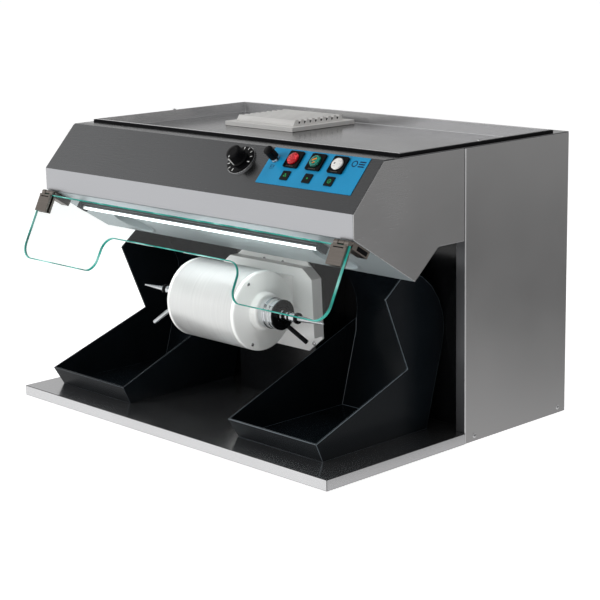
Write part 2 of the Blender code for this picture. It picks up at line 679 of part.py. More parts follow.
def mirrored_outline(right_half):
    """A closed outline from its right half, drawn from the bottom up."""
    return right_half + [(-x, z) for x, z in reversed(right_half)]


BRACKET_FACE = 0.250
BRACKET_BACK = 0.273
BRACKET_PLATE = 0.003


def make_bracket(looks):
    """A cast block and flange plate behind the motor, with a saddle that holds the housing."""
    plate = mirrored_outline([(0.087, 0.1175), (0.1215, 0.1445), (0.1170, 0.252), (0.080, 0.281)])
    bracket = prism("motor_bracket", plate, "Y", BRACKET_BACK - BRACKET_PLATE, BRACKET_BACK, looks["silver"])
    block = mirrored_outline([(0.1213, 0.149), (0.1168, 0.252), (0.094, 0.2695)])
    join(bracket, prism("bracket_block", block, "Y", BRACKET_FACE, BRACKET_BACK - 0.001))
    low, high = SPINDLE_HEIGHT - 0.050, SPINDLE_HEIGHT + 0.045
    saddle = [(-0.070, low), (0.070, low), (0.070, high), (-0.070, high)]
    join(bracket, prism("bracket_saddle", saddle, "Y", SPINDLE_SETBACK + 0.040, BRACKET_FACE + 0.001))
    cut(bracket, disc("saddle_bore", (-0.1, 0.1), MOTOR_RADIUS + GAP, steps=36))


def make_pedestal(looks):
    """A folded channel that carries the bracket and hides the wiring behind the motor."""
    half, front, back = 0.100, BRACKET_BACK + GAP, BULKHEAD_FRONT - GAP
    line = [(half, back), (half, front), (-half, front), (-half, back)]
    height = (BASE_HEIGHT + GAP, HOOD_FLOOR_BEND[1] - GAP)
    prism("motor_pedestal", folded(line[::-1], SHEET), "Z", height[0], height[1], looks["black_steel"])


# ---------------------------------------------------------------- dust trays
TRAY_FLOOR = BASE_HEIGHT + GAP
TRAY_RIM_FRONT = (0.040, 0.052)
TRAY_FLOOR_FRONT = (0.058, TRAY_FLOOR)
TRAY_KNEE = (0.258, 0.131)       # lowest point of the tall wall's notch
TRAY_PEAK = (0.206, 0.257)
TRAY_CREST = (0.246, 0.2885)
TRAY_BACK = ((0.3045, TRAY_FLOOR), (0.318, 0.066), (0.3325, 0.116), (0.3420, 0.150), (0.3465, 0.172),
             (0.3480, 0.190), (0.3455, 0.212), (0.3350, 0.238), (0.3180, 0.262), (0.294, 0.282),
             (0.268, 0.2895))
TRAY_LOW_WALL_TOP = 4            # index in TRAY_BACK where the low inner wall ends
TRAY_HALF_WIDTH = 0.1005
TRAY_FRONT_FLARE = 0.0045        # how much wider each side is at the front rim


def make_trays(looks):
    """Each tray is a scoop with a tall outer wall, a low inner wall and a back that curls forward."""
    for name, side in SIDES.items():
        bm = bmesh.new()
        centre = TRAY_CENTRES[name]

        def rim(point, wall, flare=0.0):
            half = TRAY_HALF_WIDTH + flare
            return bm.verts.new((centre + wall * side * half, point[0], point[1]))

        corners = {}
        for wall in (-1, 1):
            corners[wall] = {
                "front": rim(TRAY_RIM_FRONT, wall, TRAY_FRONT_FLARE),
                "floor": rim(TRAY_FLOOR_FRONT, wall),
                "back": [rim(point, wall) for point in TRAY_BACK],
            }
        outer, inner = corners[1], corners[-1]
        tall = [rim(point, 1) for point in (TRAY_CREST, TRAY_PEAK, TRAY_KNEE)]
        bm.faces.new([outer["floor"], *outer["back"], *tall, outer["front"]])
        bm.faces.new([inner["floor"], *inner["back"][:TRAY_LOW_WALL_TOP + 1], inner["front"]])
        bm.faces.new([outer["floor"], outer["front"], inner["front"], inner["floor"]])
        bm.faces.new([outer["floor"], outer["back"][0], inner["back"][0], inner["floor"]])
        for index in range(len(TRAY_BACK) - 1):
            bm.faces.new([outer["back"][index], outer["back"][index + 1],
                          inner["back"][index + 1], inner["back"][index]])
        tray = finish(f"dust_tray_{name}", bm, looks["tray_plastic"])
        shell = tray.modifiers.new("wall", "SOLIDIFY")
        shell.thickness = TRAY_SHEET
        shell.offset = -1
        shell.use_even_offset = True


# ---------------------------------------------------------------- glass door
CLAMP_X = (0.365, 0.397)
CLAMP_DROP = (0.006, 0.038)
KNUCKLE_RADIUS = 0.0042
ARM_KNUCKLE_X = (0.375, 0.387)
PIN_RADIUS = 0.002
ARM_X = (0.374, 0.396)
ARM_ALONG = (0.0045, 0.044)
ARM_DEPTH = 0.0124


def glass_outline():
    """One half of the shield's edge, from the raised middle out to the side, then mirrored."""
    bottom = GLASS_DROP
    side = GLASS_HALF_WIDTH
    half = arc((0.152, 0.0885), 0.026, -90, -12, 5)
    half += arc((0.204, 0.102), 0.026, 168, 90, 5)
    half += arc((side - 0.028, bottom - 0.028), 0.028, 90, 0, 5)
    half.append((side, 0.004))
    return half + [(-x, y) for x, y in reversed(half)]


def make_glass_door(looks, hinge):
    half = GLASS_THICKNESS / 2
    shield = prism("glass_shield", glass_outline(), "Z", -half, half, looks["glass"], DOOR)
    hang(shield, hinge)
    jaw = half + GAP + 0.004
    for name, side in SIDES.items():
        faces = sorted((-side * CLAMP_X[0], -side * CLAMP_X[1]))
        clamp = box(f"glass_clamp_{name}", faces, CLAMP_DROP, (-jaw, jaw), looks["clamp_metal"], DOOR)
        join(clamp, knuckle(f"clamp_knuckle_{name}", CLAMP_X, side, KNUCKLE_RADIUS))
        web = (-0.0035, 0.0035)
        join(clamp, box(f"clamp_web_{name}", faces, (0, CLAMP_DROP[0] + 0.001), web, place=DOOR))
        gap_x = sorted((-side * (ARM_KNUCKLE_X[0] - 0.001), -side * (ARM_KNUCKLE_X[1] + 0.001)))
        cut(clamp, box(f"knuckle_gap_{name}", gap_x, (-0.01, CLAMP_DROP[0] - GAP), (-0.01, 0.01), place=DOOR))
        bore_x = (CLAMP_X[0] - 0.01, CLAMP_X[1] - 0.003)
        cut(clamp, knuckle(f"pin_bore_{name}", bore_x, side, PIN_RADIUS + GAP))
        slot_x = (faces[0] - 0.01, faces[1] + 0.01)
        slot_y = (0.004 - GAP, CLAMP_DROP[1] + 0.01)
        cut(clamp, box(f"glass_slot_{name}", slot_x, slot_y, (-half - GAP, half + GAP), place=DOOR))
        hang(clamp, hinge)


def knuckle(name, reach, side, radius):
    """A short cylinder on the door's hinge axis; door x runs against world x."""
    along = sorted((-side * reach[0], -side * reach[1]))
    return disc(name, along, radius, place=DOOR)


def make_hinge_arms(looks):
    for name, side in SIDES.items():
        faces = sorted((side * ARM_X[0], side * ARM_X[1]))
        arm = box(f"hinge_arm_{name}", faces, ARM_ALONG, (-ARM_DEPTH, -GAP), looks["clamp_metal"], UNDERSIDE)
        neck = sorted((side * ARM_KNUCKLE_X[0], side * ARM_KNUCKLE_X[1]))
        overlap = ARM_ALONG[0] + 0.001
        join(arm, box(f"arm_neck_{name}", neck, (-0.0035, overlap), (-0.0090, -0.0045), place=UNDERSIDE))
        join(arm, knuckle(f"arm_knuckle_{name}", ARM_KNUCKLE_X, side, KNUCKLE_RADIUS - GAP))
        join(arm, knuckle(f"arm_pin_{name}", (CLAMP_X[0] + 0.002, CLAMP_X[1] - 0.004), side, PIN_RADIUS))


# ---------------------------------------------------------------- build
def smooth_round_pieces():
    for piece in bpy.data.objects:
        if piece.type == "MESH":
            piece.data.shade_smooth()
            piece.data.set_sharp_from_angle(angle=math.radians(30))


def main():
    clear_scene()
    looks = make_materials()
    make_base_pan(looks)
    make_side_panels(looks)
    make_rear_panel(looks)
    make_bulkhead(looks)
    make_mains_inlet(looks)
    make_hood_cheeks(looks)
    make_fascia(looks)
    make_hood_underside(looks)
    make_hood_floor(looks)
    make_top(looks)
    make_vent(looks)
    make_extraction(looks)
    make_label(looks)
    make_buttons(looks)
    make_dials(looks)
    make_lamp(looks)
    make_motor(looks)
    make_rotor(looks, pivot("spindle_axis", SPINDLE))
    make_levers(looks)
    make_bracket(looks)
    make_pedestal(looks)
    make_trays(looks)
    make_glass_door(looks, pivot("glass_hinge_axis", DOOR))
    make_hinge_arms(looks)
    smooth_round_pieces()


main()
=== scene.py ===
"""Looks for the bench polishing unit: fine pieces, materials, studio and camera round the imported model.

Units are metres in the row frame: +X to the operator's right, -Y towards the operator, +Z up.
"""
import json
import math

import bmesh
import bpy
from mathutils import Matrix, Vector


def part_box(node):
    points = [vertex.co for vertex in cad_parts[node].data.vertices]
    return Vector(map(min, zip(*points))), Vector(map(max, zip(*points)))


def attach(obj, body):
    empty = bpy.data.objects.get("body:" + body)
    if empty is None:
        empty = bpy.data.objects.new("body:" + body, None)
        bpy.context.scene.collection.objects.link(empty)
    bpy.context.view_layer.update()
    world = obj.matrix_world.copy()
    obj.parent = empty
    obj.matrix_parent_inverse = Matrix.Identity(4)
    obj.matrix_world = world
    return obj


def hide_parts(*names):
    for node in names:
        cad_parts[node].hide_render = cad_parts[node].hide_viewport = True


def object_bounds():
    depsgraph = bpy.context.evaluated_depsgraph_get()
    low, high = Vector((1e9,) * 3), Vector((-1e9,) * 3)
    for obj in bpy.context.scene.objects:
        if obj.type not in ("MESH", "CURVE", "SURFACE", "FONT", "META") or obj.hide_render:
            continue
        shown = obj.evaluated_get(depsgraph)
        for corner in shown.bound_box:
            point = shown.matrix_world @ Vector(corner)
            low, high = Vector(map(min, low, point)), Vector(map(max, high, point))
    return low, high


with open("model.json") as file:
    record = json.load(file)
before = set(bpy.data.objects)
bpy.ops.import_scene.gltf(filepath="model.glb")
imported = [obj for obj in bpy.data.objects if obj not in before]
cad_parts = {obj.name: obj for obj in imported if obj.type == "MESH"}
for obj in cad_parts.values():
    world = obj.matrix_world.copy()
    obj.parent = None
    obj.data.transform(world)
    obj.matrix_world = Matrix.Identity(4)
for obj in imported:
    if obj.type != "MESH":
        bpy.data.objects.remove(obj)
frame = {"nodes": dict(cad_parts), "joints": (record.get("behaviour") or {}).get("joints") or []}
cad_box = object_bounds()

MM = 0.001
GAP = 0.3 * MM                 # clearance between pieces that touch
SHEET = 1.5 * MM
SIDES = {"left": -1, "right": 1}
NODES = frame["nodes"]
JOINTS = {joint["name"]: joint for joint in frame["joints"]}


# ---------------------------------------------------------------- places, read from the frame
def frame_at(origin, x_axis, y_axis):
    """A matrix whose local x and y run along the given directions."""
    x_axis = Vector(x_axis).normalized()
    y_axis = Vector(y_axis).normalized()
    turn = Matrix((x_axis, y_axis, x_axis.cross(y_axis))).transposed()
    return Matrix.Translation(origin) @ turn.to_4x4()


def corner(node, *directions):
    """The node's point that lies furthest along the first direction, then along the next ones."""
    points = [vertex.co for vertex in NODES[node].data.vertices]
    for direction in directions:
        reach = max(point.dot(direction) for point in points)
        points = [point for point in points if point.dot(direction) > reach - 0.05 * MM]
    return points[0].copy()


def local_box(node, place):
    """A node's lowest and highest corner in a place's own axes."""
    inverse = place.inverted()
    points = [inverse @ vertex.co for vertex in NODES[node].data.vertices]
    low = Vector([min(point[axis] for point in points) for axis in range(3)])
    high = Vector([max(point[axis] for point in points) for axis in range(3)])
    return low, high


FORWARD, BACK = Vector((0, -1, 0)), Vector((0, 1, 0))
UP, DOWN = Vector((0, 0, 1)), Vector((0, 0, -1))
RIGHT = Vector((1, 0, 0))

LIP_BOTTOM = corner("hood_cheek_right", FORWARD, DOWN)
LIP_TOP = corner("hood_cheek_right", FORWARD, UP)
HOOD_VERTEX = corner("hood_cheek_right", DOWN, FORWARD)

# On the fascia: x along the hood, y up the slope, z out of it. On the underside: y back, z into the hood.
FASCIA_IN = Vector(JOINTS["dial_turn"]["axis"])
FASCIA = frame_at((0, LIP_TOP.y, LIP_TOP.z), RIGHT, RIGHT.cross(FASCIA_IN))
UNDERSIDE = frame_at((0, LIP_BOTTOM.y, LIP_BOTTOM.z), RIGHT, (0, *(HOOD_VERTEX - LIP_BOTTOM).yz))

# On the door: y down the glass from the hinge, z towards the operator.
GLASS_LEAN = math.atan(0.496)
DOOR = frame_at(JOINTS["glass_hinge"]["pos_m"], -RIGHT, (0, -math.sin(GLASS_LEAN), -math.cos(GLASS_LEAN)))
SPINDLE = Matrix.Translation(JOINTS["spindle_turn"]["pos_m"])

# Turned pieces are drawn about local x, so this stands one up about z.
UPRIGHT = Matrix.Rotation(-math.pi / 2, 4, "Y")


def on(surface, x, y, z=0.0):
    """A place on a surface, with the surface's own axes."""
    return surface @ Matrix.Translation((x, y, z))


# ---------------------------------------------------------------- material nodes
def add(tree, kind, settings=None, **inputs):
    """A shader node; an input is a value or another node's socket, named with _ for a space."""
    made = tree.nodes.new("ShaderNode" + kind)
    for key, value in (settings or {}).items():
        setattr(made, key, value)
    for key, value in inputs.items():
        socket = made.inputs[key.replace("_", " ")]
        if isinstance(value, bpy.types.NodeSocket):
            tree.links.new(value, socket)
        else:
            socket.default_value = value
    return made


def new_material(name):
    made = bpy.data.materials.new(name)
    made.use_nodes = True
    tree = made.node_tree
    return made, tree, tree.nodes["Principled BSDF"]


def set_shader(shader, **values):
    for key, value in values.items():
        shader.inputs[key.replace("_", " ")].default_value = value


def grain(tree, stretch, scale, detail=6.0, roughness=0.6):
    """Noise whose grain is drawn out: stretch gives the noise's pace along x, y and z."""
    where = add(tree, "TexCoord").outputs["Object"]
    mapped = add(tree, "Mapping", Vector=where, Scale=stretch).outputs["Vector"]
    noise = add(tree, "TexNoise", Vector=mapped, Scale=scale, Detail=detail, Roughness=roughness)
    return noise.outputs["Fac"]


def spread(tree, value, low, high, from_low=0.3, from_high=0.7):
    """A value from 0.3-0.7, as noise gives it, spread over low to high."""
    return add(tree, "MapRange", Value=value, From_Min=from_low, From_Max=from_high,
               To_Min=low, To_Max=high).outputs["Result"]


def combined(tree, operation, first, second):
    """Two sockets' values, added or multiplied."""
    made = add(tree, "Math", {"operation": operation})
    tree.links.new(first, made.inputs[0])
    tree.links.new(second, made.inputs[1])
    return made.outputs["Value"]


def vector_math(tree, operation, vector, other=None, output="Vector"):
    made = add(tree, "VectorMath", {"operation": operation}, Vector=vector)
    if other is not None:
        made.inputs[1].default_value = other
    return made.outputs[output]


def blend(tree, factor, first, second):
    """From a first colour to a second one; each is a colour or another node's socket."""
    made = add(tree, "Mix", {"data_type": "RGBA"})
    tree.links.new(factor, made.inputs["Factor"])
    for index, colour in ((6, first), (7, second)):
        if isinstance(colour, bpy.types.NodeSocket):
            tree.links.new(colour, made.inputs[index])
        else:
            made.inputs[index].default_value = (*colour, 1)
    return made.outputs[2]


def tint(tree, shader, colour, value, socket="Base Color"):
    """A colour for a shader's socket, made lighter or darker by a value round 1."""
    made = add(tree, "VectorMath", {"operation": "SCALE"}, Vector=colour, Scale=value)
    tree.links.new(made.outputs["Vector"], shader.inputs[socket])


def bump(tree, shader, height, depth, distance=0.1 * MM):
    made = add(tree, "Bump", Height=height, Strength=depth, Distance=distance)
    tree.links.new(made.outputs["Normal"], shader.inputs["Normal"])


EVEN = (1.0, 1.0, 1.0)
ALONG_X = (1.0, 60.0, 60.0)
ALONG_Y = (60.0, 1.0, 60.0)
ALONG_Z = (60.0, 60.0, 1.0)
# The tangent of the sheen across each grain; tilted a little so that no flat face lies square to it.
ACROSS = {ALONG_X: (0.0, 0.98, 0.2), ALONG_Y: (0.2, 0.0, 0.98), ALONG_Z: (0.2, 0.98, 0.0)}


def brushed_steel(name, colour, roughness, along, contrast=0.012, smudge=0.03, anisotropy=0.0, metallic=1.0):
    """Hairline sheet: fine drawn-out lines, and broad soft patches where hands have wiped it."""
    made, tree, shader = new_material(name)
    lines = grain(tree, along, 26.0)
    patches = grain(tree, EVEN, 4.0, 2.0)
    shade = combined(tree, "MULTIPLY", spread(tree, lines, 1 - contrast, 1 + contrast),
                     spread(tree, patches, 1 - smudge, 1 + smudge))
    tint(tree, shader, colour, shade)
    rough = combined(tree, "ADD", spread(tree, lines, roughness - 0.03, roughness + 0.03),
                     spread(tree, patches, -0.03, 0.03))
    tree.links.new(rough, shader.inputs["Roughness"])
    set_shader(shader, Metallic=metallic, Anisotropic=anisotropy)
    if anisotropy:
        x, y, z = ACROSS[along]
        across = add(tree, "CombineXYZ", X=x, Y=y, Z=z)
        tree.links.new(across.outputs["Vector"], shader.inputs["Tangent"])
    bump(tree, shader, lines, 0.015, 0.03 * MM)
    return made


def moulded(name, colour, roughness, speckle=0.05, texture=0.25, grain_size=900.0, specular=0.5):
    """Moulded plastic or paint: a fine skin grain with a little play in colour and gloss."""
    made, tree, shader = new_material(name)
    skin = grain(tree, EVEN, grain_size, 3.0)
    patches = grain(tree, EVEN, 9.0, 3.0)
    tint(tree, shader, colour, spread(tree, patches, 1 - speckle, 1 + speckle))
    tree.links.new(spread(tree, patches, roughness - 0.04, roughness + 0.05), shader.inputs["Roughness"])
    set_shader(shader, Specular_IOR_Level=specular)
    bump(tree, shader, skin, texture, 0.05 * MM)
    return made


def turned_metal(name, colour, roughness, anisotropy, metallic, centre=None):
    """Metal finished on a lathe whose axis is x: fine rings along it, or round the centre of an end face."""
    made, tree, shader = new_material(name)
    if centre is None:
        rings = grain(tree, (60.0, 1.0, 1.0), 12.0)
    else:
        offset = vector_math(tree, "SUBTRACT", add(tree, "TexCoord").outputs["Object"], centre)
        across = vector_math(tree, "MULTIPLY", offset, (0, 1, 1))
        radius = vector_math(tree, "LENGTH", across, output="Value")
        noise = add(tree, "TexNoise", {"noise_dimensions": "1D"}, W=radius, Scale=900.0, Detail=4.0)
        rings = noise.outputs["Fac"]
    tint(tree, shader, colour, spread(tree, rings, 0.94, 1.05))
    tree.links.new(spread(tree, rings, roughness - 0.04, roughness + 0.04), shader.inputs["Roughness"])
    tangent = add(tree, "Tangent", {"direction_type": "RADIAL", "axis": "X"})
    tree.links.new(tangent.outputs["Tangent"], shader.inputs["Tangent"])
    set_shader(shader, Metallic=metallic, Anisotropic=anisotropy)
    bump(tree, shader, rings, 0.06, 0.05 * MM)
    return made


def polished(name, colour, roughness):
    made, tree, shader = new_material(name)
    haze = grain(tree, EVEN, 60.0, 3.0)
    tint(tree, shader, colour, spread(tree, haze, 0.95, 1.04))
    tree.links.new(spread(tree, haze, roughness * 0.6, roughness * 1.5), shader.inputs["Roughness"])
    set_shader(shader, Metallic=1.0)
    return made


def lens(name, colour, second, amount, glow):
    """A moulded lens with facets inside, which catch the light in two colours."""
    made, tree, shader = new_material(name)
    where = add(tree, "TexCoord").outputs["Object"]
    facets = add(tree, "TexVoronoi", Vector=where, Scale=330.0).outputs["Color"]
    pick = add(tree, "SeparateColor", Color=facets).outputs["Red"]
    step = spread(tree, pick, 0.0, 1.0, amount - 0.05, amount + 0.05)
    mixed = blend(tree, step, second, colour)
    tree.links.new(mixed, shader.inputs["Base Color"])
    tree.links.new(mixed, shader.inputs["Emission Color"])
    tree.links.new(spread(tree, pick, 0.08, 0.25, 0.0, 1.0), shader.inputs["Roughness"])
    set_shader(shader, Emission_Strength=glow, Coat_Weight=0.4, Coat_Roughness=0.08)
    bump(tree, shader, pick, 0.25, 0.3 * MM)
    return made


GLASS_INDEX = 1.5
GLASS_TINT = (0.968, 0.982, 0.978, 1)      # what passes one of the sheet's faces


def clear_glass(name):
    """The sheet's two faces: nearly all passes, and the rest mirrors the room."""
    made, tree, shader = new_material(name)
    tree.nodes.remove(shader)
    smear = grain(tree, EVEN, 12.0, 3.0)
    through = add(tree, "BsdfTransparent", Color=GLASS_TINT)
    mirror = add(tree, "BsdfGlossy", Roughness=spread(tree, smear, 0.015, 0.05))
    # From inside the sheet the index is turned over, so that both faces mirror alike and neither blocks.
    behind = add(tree, "NewGeometry").outputs["Backfacing"]
    index = add(tree, "MapRange", Value=behind, To_Min=GLASS_INDEX, To_Max=1 / GLASS_INDEX).outputs["Result"]
    mirrored_share = add(tree, "Fresnel", IOR=index)
    mixed = add(tree, "MixShader", Fac=mirrored_share.outputs["Fac"])
    tree.links.new(through.outputs["BSDF"], mixed.inputs[1])
    tree.links.new(mirror.outputs["BSDF"], mixed.inputs[2])
    tree.links.new(mixed.outputs["Shader"], tree.nodes["Material Output"].inputs["Surface"])
    return made


def glass_edge(name):
    """The cut edge, where the light has come a long way through the sheet and turns green."""
    made, tree, shader = new_material(name)
    # Painted light: the noise's pale streaks and the faint emission stand for light caught in the cut edge;
    # the green is the glass's own tint
    streaks = grain(tree, EVEN, 26.0, 3.0, 0.5)
    ramp = add(tree, "ValToRGB", Fac=spread(tree, streaks, 0.0, 1.0))
    ramp.color_ramp.elements[0].color = (0.0, 0.16, 0.13, 1)
    ramp.color_ramp.elements[1].color = (0.25, 0.62, 0.56, 1)
    middle = ramp.color_ramp.elements.new(0.55)
    middle.color = (0.01, 0.34, 0.28, 1)
    tree.links.new(ramp.outputs["Color"], shader.inputs["Base Color"])
    tree.links.new(ramp.outputs["Color"], shader.inputs["Emission Color"])
    set_shader(shader, Roughness=0.06, Emission_Strength=0.12, Coat_Weight=1.0, Coat_Roughness=0.02)
    return made


LAMP_STRENGTH = 2.6


def lamp_light(name):
    """An opal front that glows, on a grey back that doesn't; the tube's own z points into the hood."""
    made, tree, shader = new_material(name)
    opal = grain(tree, EVEN, 40.0, 2.0)
    depth = add(tree, "SeparateXYZ", Vector=add(tree, "TexCoord").outputs["Object"]).outputs["Z"]
    front = spread(tree, depth, 1.0, 0.0, -0.1 * MM, 0.6 * MM)
    glow = combined(tree, "MULTIPLY", front, spread(tree, opal, 0.97, 1.03))
    tint(tree, shader, (0.93, 0.98, 1.0), glow, "Emission Color")
    set_shader(shader, Base_Color=(0.30, 0.33, 0.35, 1), Roughness=0.3, Emission_Strength=LAMP_STRENGTH)
    return made


def pleated_cloth(name):
    made, tree, shader = new_material(name)
    where = add(tree, "TexCoord").outputs["Object"]
    weave = add(tree, "TexVoronoi", Vector=where, Scale=900.0).outputs["Distance"]
    tint(tree, shader, (0.78, 0.77, 0.72), spread(tree, weave, 0.8, 1.05, 0, 1))
    set_shader(shader, Roughness=0.9)
    bump(tree, shader, weave, 0.5, 0.3 * MM)
    return made


def windings(name):
    """Varnished copper turns between steel laminations."""
    made, tree, shader = new_material(name)
    turns = grain(tree, (80.0, 1.0, 1.0), 20.0, 2.0)
    tint(tree, shader, (0.45, 0.24, 0.13), spread(tree, turns, 0.6, 1.3))
    set_shader(shader, Metallic=0.8, Roughness=0.4)
    bump(tree, shader, turns, 0.4, 0.3 * MM)
    return made


SPINDLE_CENTRE = SPINDLE.to_translation()
LOOKS = {
    "side": brushed_steel("side_steel", (0.58, 0.575, 0.575), 0.20, ALONG_Z),
    "hood": brushed_steel("hood_steel", (0.59, 0.585, 0.585), 0.24, ALONG_Y),
    # Lighter steel laid on rounded edges and folds: a painted highlight along them
    "fold": brushed_steel("edge_highlight_steel", (0.92, 0.92, 0.93), 0.18, ALONG_X),
    # Darker copy of the side steel for the front flanges: painted shade
    "flange": brushed_steel("flange_painted_shade", (0.12, 0.122, 0.128), 0.35, ALONG_Z, metallic=0.6),
    "underside": brushed_steel("underside_steel", (0.52, 0.585, 0.605), 0.45, ALONG_X, metallic=0.7),
    "base": brushed_steel("base_steel", (0.72, 0.72, 0.73), 0.20, ALONG_X, 0.03, 0.04, 0.45, 0.98),
    # The lid's steel is darker than the real grey steel: painted shade
    "lid": brushed_steel("lid_steel_painted_shade", (0.27, 0.27, 0.275), 0.20, ALONG_X, 0.012, 0.03, 0.4),
    # Darker copy of the hood's steel for the fascia: painted shade
    "fascia": brushed_steel("fascia_steel_painted_shade", (0.17, 0.172, 0.176), 0.26, ALONG_X, 0.015, 0.03),
    "lip": brushed_steel("lip_steel", (0.53, 0.535, 0.555), 0.35, ALONG_X, 0.012, 0.03),
    # Lighter copy of the lid's steel for its walls: painted highlight
    "lid_wall": brushed_steel("lid_wall_painted_highlight", (0.72, 0.72, 0.73), 0.20, ALONG_X, metallic=0.75),
    # Darker grey for the louvres' tops: painted shade
    "vent_top": moulded("vent_top_painted_shade", (0.43, 0.43, 0.42), 0.45, 0.03, 0.2),
    "black_steel": moulded("black_steel_paint", (0.004, 0.0045, 0.005), 0.20, 0.1, 0.10, 900.0, 0.45),
    "rubber": moulded("rubber_strip", (0.004, 0.004, 0.005), 0.6, 0.1, 0.4, 900.0, 0.15),
    "tray": moulded("tray_sheet", (0.005, 0.007, 0.009), 0.22, 0.15, 0.08, 500.0, 0.16),
    # A lighter, glossier sheet on the trays' rounded edges: a painted highlight along the rims
    "tray_edge": moulded("tray_edge_painted_highlight", (0.11, 0.135, 0.155), 0.18, 0.1, 0.05, 500.0, 1.0),
    "vent": moulded("vent_moulding", (0.68, 0.67, 0.655), 0.45, 0.03, 0.2),
    "black": moulded("black_moulding", (0.003, 0.003, 0.0035), 0.16, 0.1, 0.12, 900.0, 0.12),
    "label": moulded("label_film", (0.012, 0.27, 0.52), 0.32, 0.06, 0.1, 1500.0, 0.3),
    "ink": moulded("label_ink", (0.006, 0.02, 0.06), 0.4, 0.05, 0.1, 900.0, 0.2),
    "window": moulded("window_film", (0.003, 0.004, 0.004), 0.2, 0.1, 0.05, 900.0, 0.2),
    "glyph": moulded("glyph_ink", (0.01, 0.30, 0.07), 0.3, 0.05, 0.1),
    "tick": moulded("tick_ink", (0.85, 0.85, 0.83), 0.4, 0.03, 0.1),
    "amber": moulded("amber_insert", (0.85, 0.24, 0.01), 0.25, 0.1, 0.1),
    "teal": moulded("teal_insert", (0.02, 0.36, 0.26), 0.2, 0.1, 0.1),
    # Lighter red for a spot on the red lens: painted highlight
    "pale": moulded("red_lens_highlight_paint", (0.55, 0.02, 0.04), 0.2, 0.1, 0.1),
    "housing": turned_metal("motor_aluminium", (0.74, 0.75, 0.74), 0.34, 0.5, 0.6),
    "end_face": turned_metal("end_face_aluminium", (0.92, 0.93, 0.91), 0.40, 0.6, 0.12, SPINDLE_CENTRE),
    "bracket": brushed_steel("bracket_aluminium", (0.93, 0.93, 0.92), 0.42, ALONG_Z, metallic=0.08),
    "batten": moulded("batten_paint", (0.035, 0.04, 0.043), 0.40, 0.1, 0.1, 900.0, 0.4),
    "chrome": polished("polished_chrome", (0.70, 0.72, 0.74), 0.10),
    "screw": polished("screw_steel", (0.80, 0.80, 0.81), 0.16),
    "clamp": brushed_steel("clamp_steel", (0.27, 0.24, 0.215), 0.34, ALONG_X, 0.15, 0.05),
    "red": lens("red_lens_plastic", (0.40, 0.0, 0.006), (0.85, 0.05, 0.06), 0.25, 0.06),
    "green": lens("green_lens_plastic", (0.0, 0.06, 0.045), (0.0, 0.22, 0.15), 0.35, 0.05),
    "white": lens("white_lens_plastic", (0.78, 0.77, 0.74), (0.60, 0.60, 0.60), 0.15, 0.05),
    "glass": clear_glass("sheet_glass"),
    "glass_edge": glass_edge("sheet_glass_edge"),
    "lamp": lamp_light("lamp_glow"),
    "cloth": pleated_cloth("filter_fleece"),
    "windings": windings("varnished_windings"),
}


# ---------------------------------------------------------------- making pieces
def wear(piece, body, slot, *nodes):
    """Every piece rides on a body and may stand for CAD nodes, which it hides. The slot is not used."""
    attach(piece, body)
    if nodes:
        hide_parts(*nodes)
    return piece


def piece_from(name, bm, look, place=None, smooth_angle=35.0):
    bmesh.ops.recalc_face_normals(bm, faces=bm.faces)
    mesh = bpy.data.meshes.new(name)
    bm.to_mesh(mesh)
    bm.free()
    mesh.materials.append(LOOKS[look])
    mesh.shade_smooth()
    mesh.set_sharp_from_angle(angle=math.radians(smooth_angle))
    made = bpy.data.objects.new(name, mesh)
    bpy.context.scene.collection.objects.link(made)
    if place is not None:
        made.matrix_world = place
    return made


def round_edges(bm, width, segments=2, angle=30.0):
    """Bevel every edge that turns by more than an angle."""
    sharp = [edge for edge in bm.edges
             if len(edge.link_faces) == 2 and edge.calc_face_angle() > math.radians(angle)]
    bmesh.ops.bevel(bm, geom=sharp, offset=width, segments=segments, profile=0.5,
                    affect="EDGES", clamp_overlap=True)


def bridge(bm, loops):
    """The faces between each closed loop of points and the next one."""
    faces = []
    for first, second in zip(loops, loops[1:]):
        for index in range(len(first)):
            following = (index + 1) % len(first)
            faces.append(bm.faces.new((first[index], first[following], second[following], second[index])))
    return faces


def spin_profile(profile, steps):
    """A closed profile of (along, radius) points turned about local x."""
    bm = bmesh.new()
    verts = [bm.verts.new((along, 0, radius)) for along, radius in profile]
    edges = []
    for index, vert in enumerate(verts):
        following = verts[(index + 1) % len(verts)]
        if vert.co.z > 0 or following.co.z > 0:
            edges.append(bm.edges.new((vert, following)))
    bmesh.ops.spin(bm, geom=verts + edges, cent=(0, 0, 0), axis=(1, 0, 0), angle=2 * math.pi, steps=steps)
    bmesh.ops.remove_doubles(bm, verts=bm.verts, dist=0.002 * MM)
    return bm


def turned(name, profile, look, place, edge=0.4 * MM, steps=96):
    bm = spin_profile(profile, steps)
    if edge:
        bmesh.ops.recalc_face_normals(bm, faces=bm.faces)
        round_edges(bm, edge)
    return piece_from(name, bm, look, place)


def ring(name, along, inner, outer, look, place, edge=0.4 * MM, steps=96):
    profile = [(along[0], inner), (along[0], outer), (along[1], outer), (along[1], inner)]
    return turned(name, profile, look, place, edge, steps)


def disc(name, along, radius, look, place, edge=0.4 * MM, steps=64):
    profile = [(along[0], 0), (along[0], radius), (along[1], radius), (along[1], 0)]
    return turned(name, profile, look, place, edge, steps)


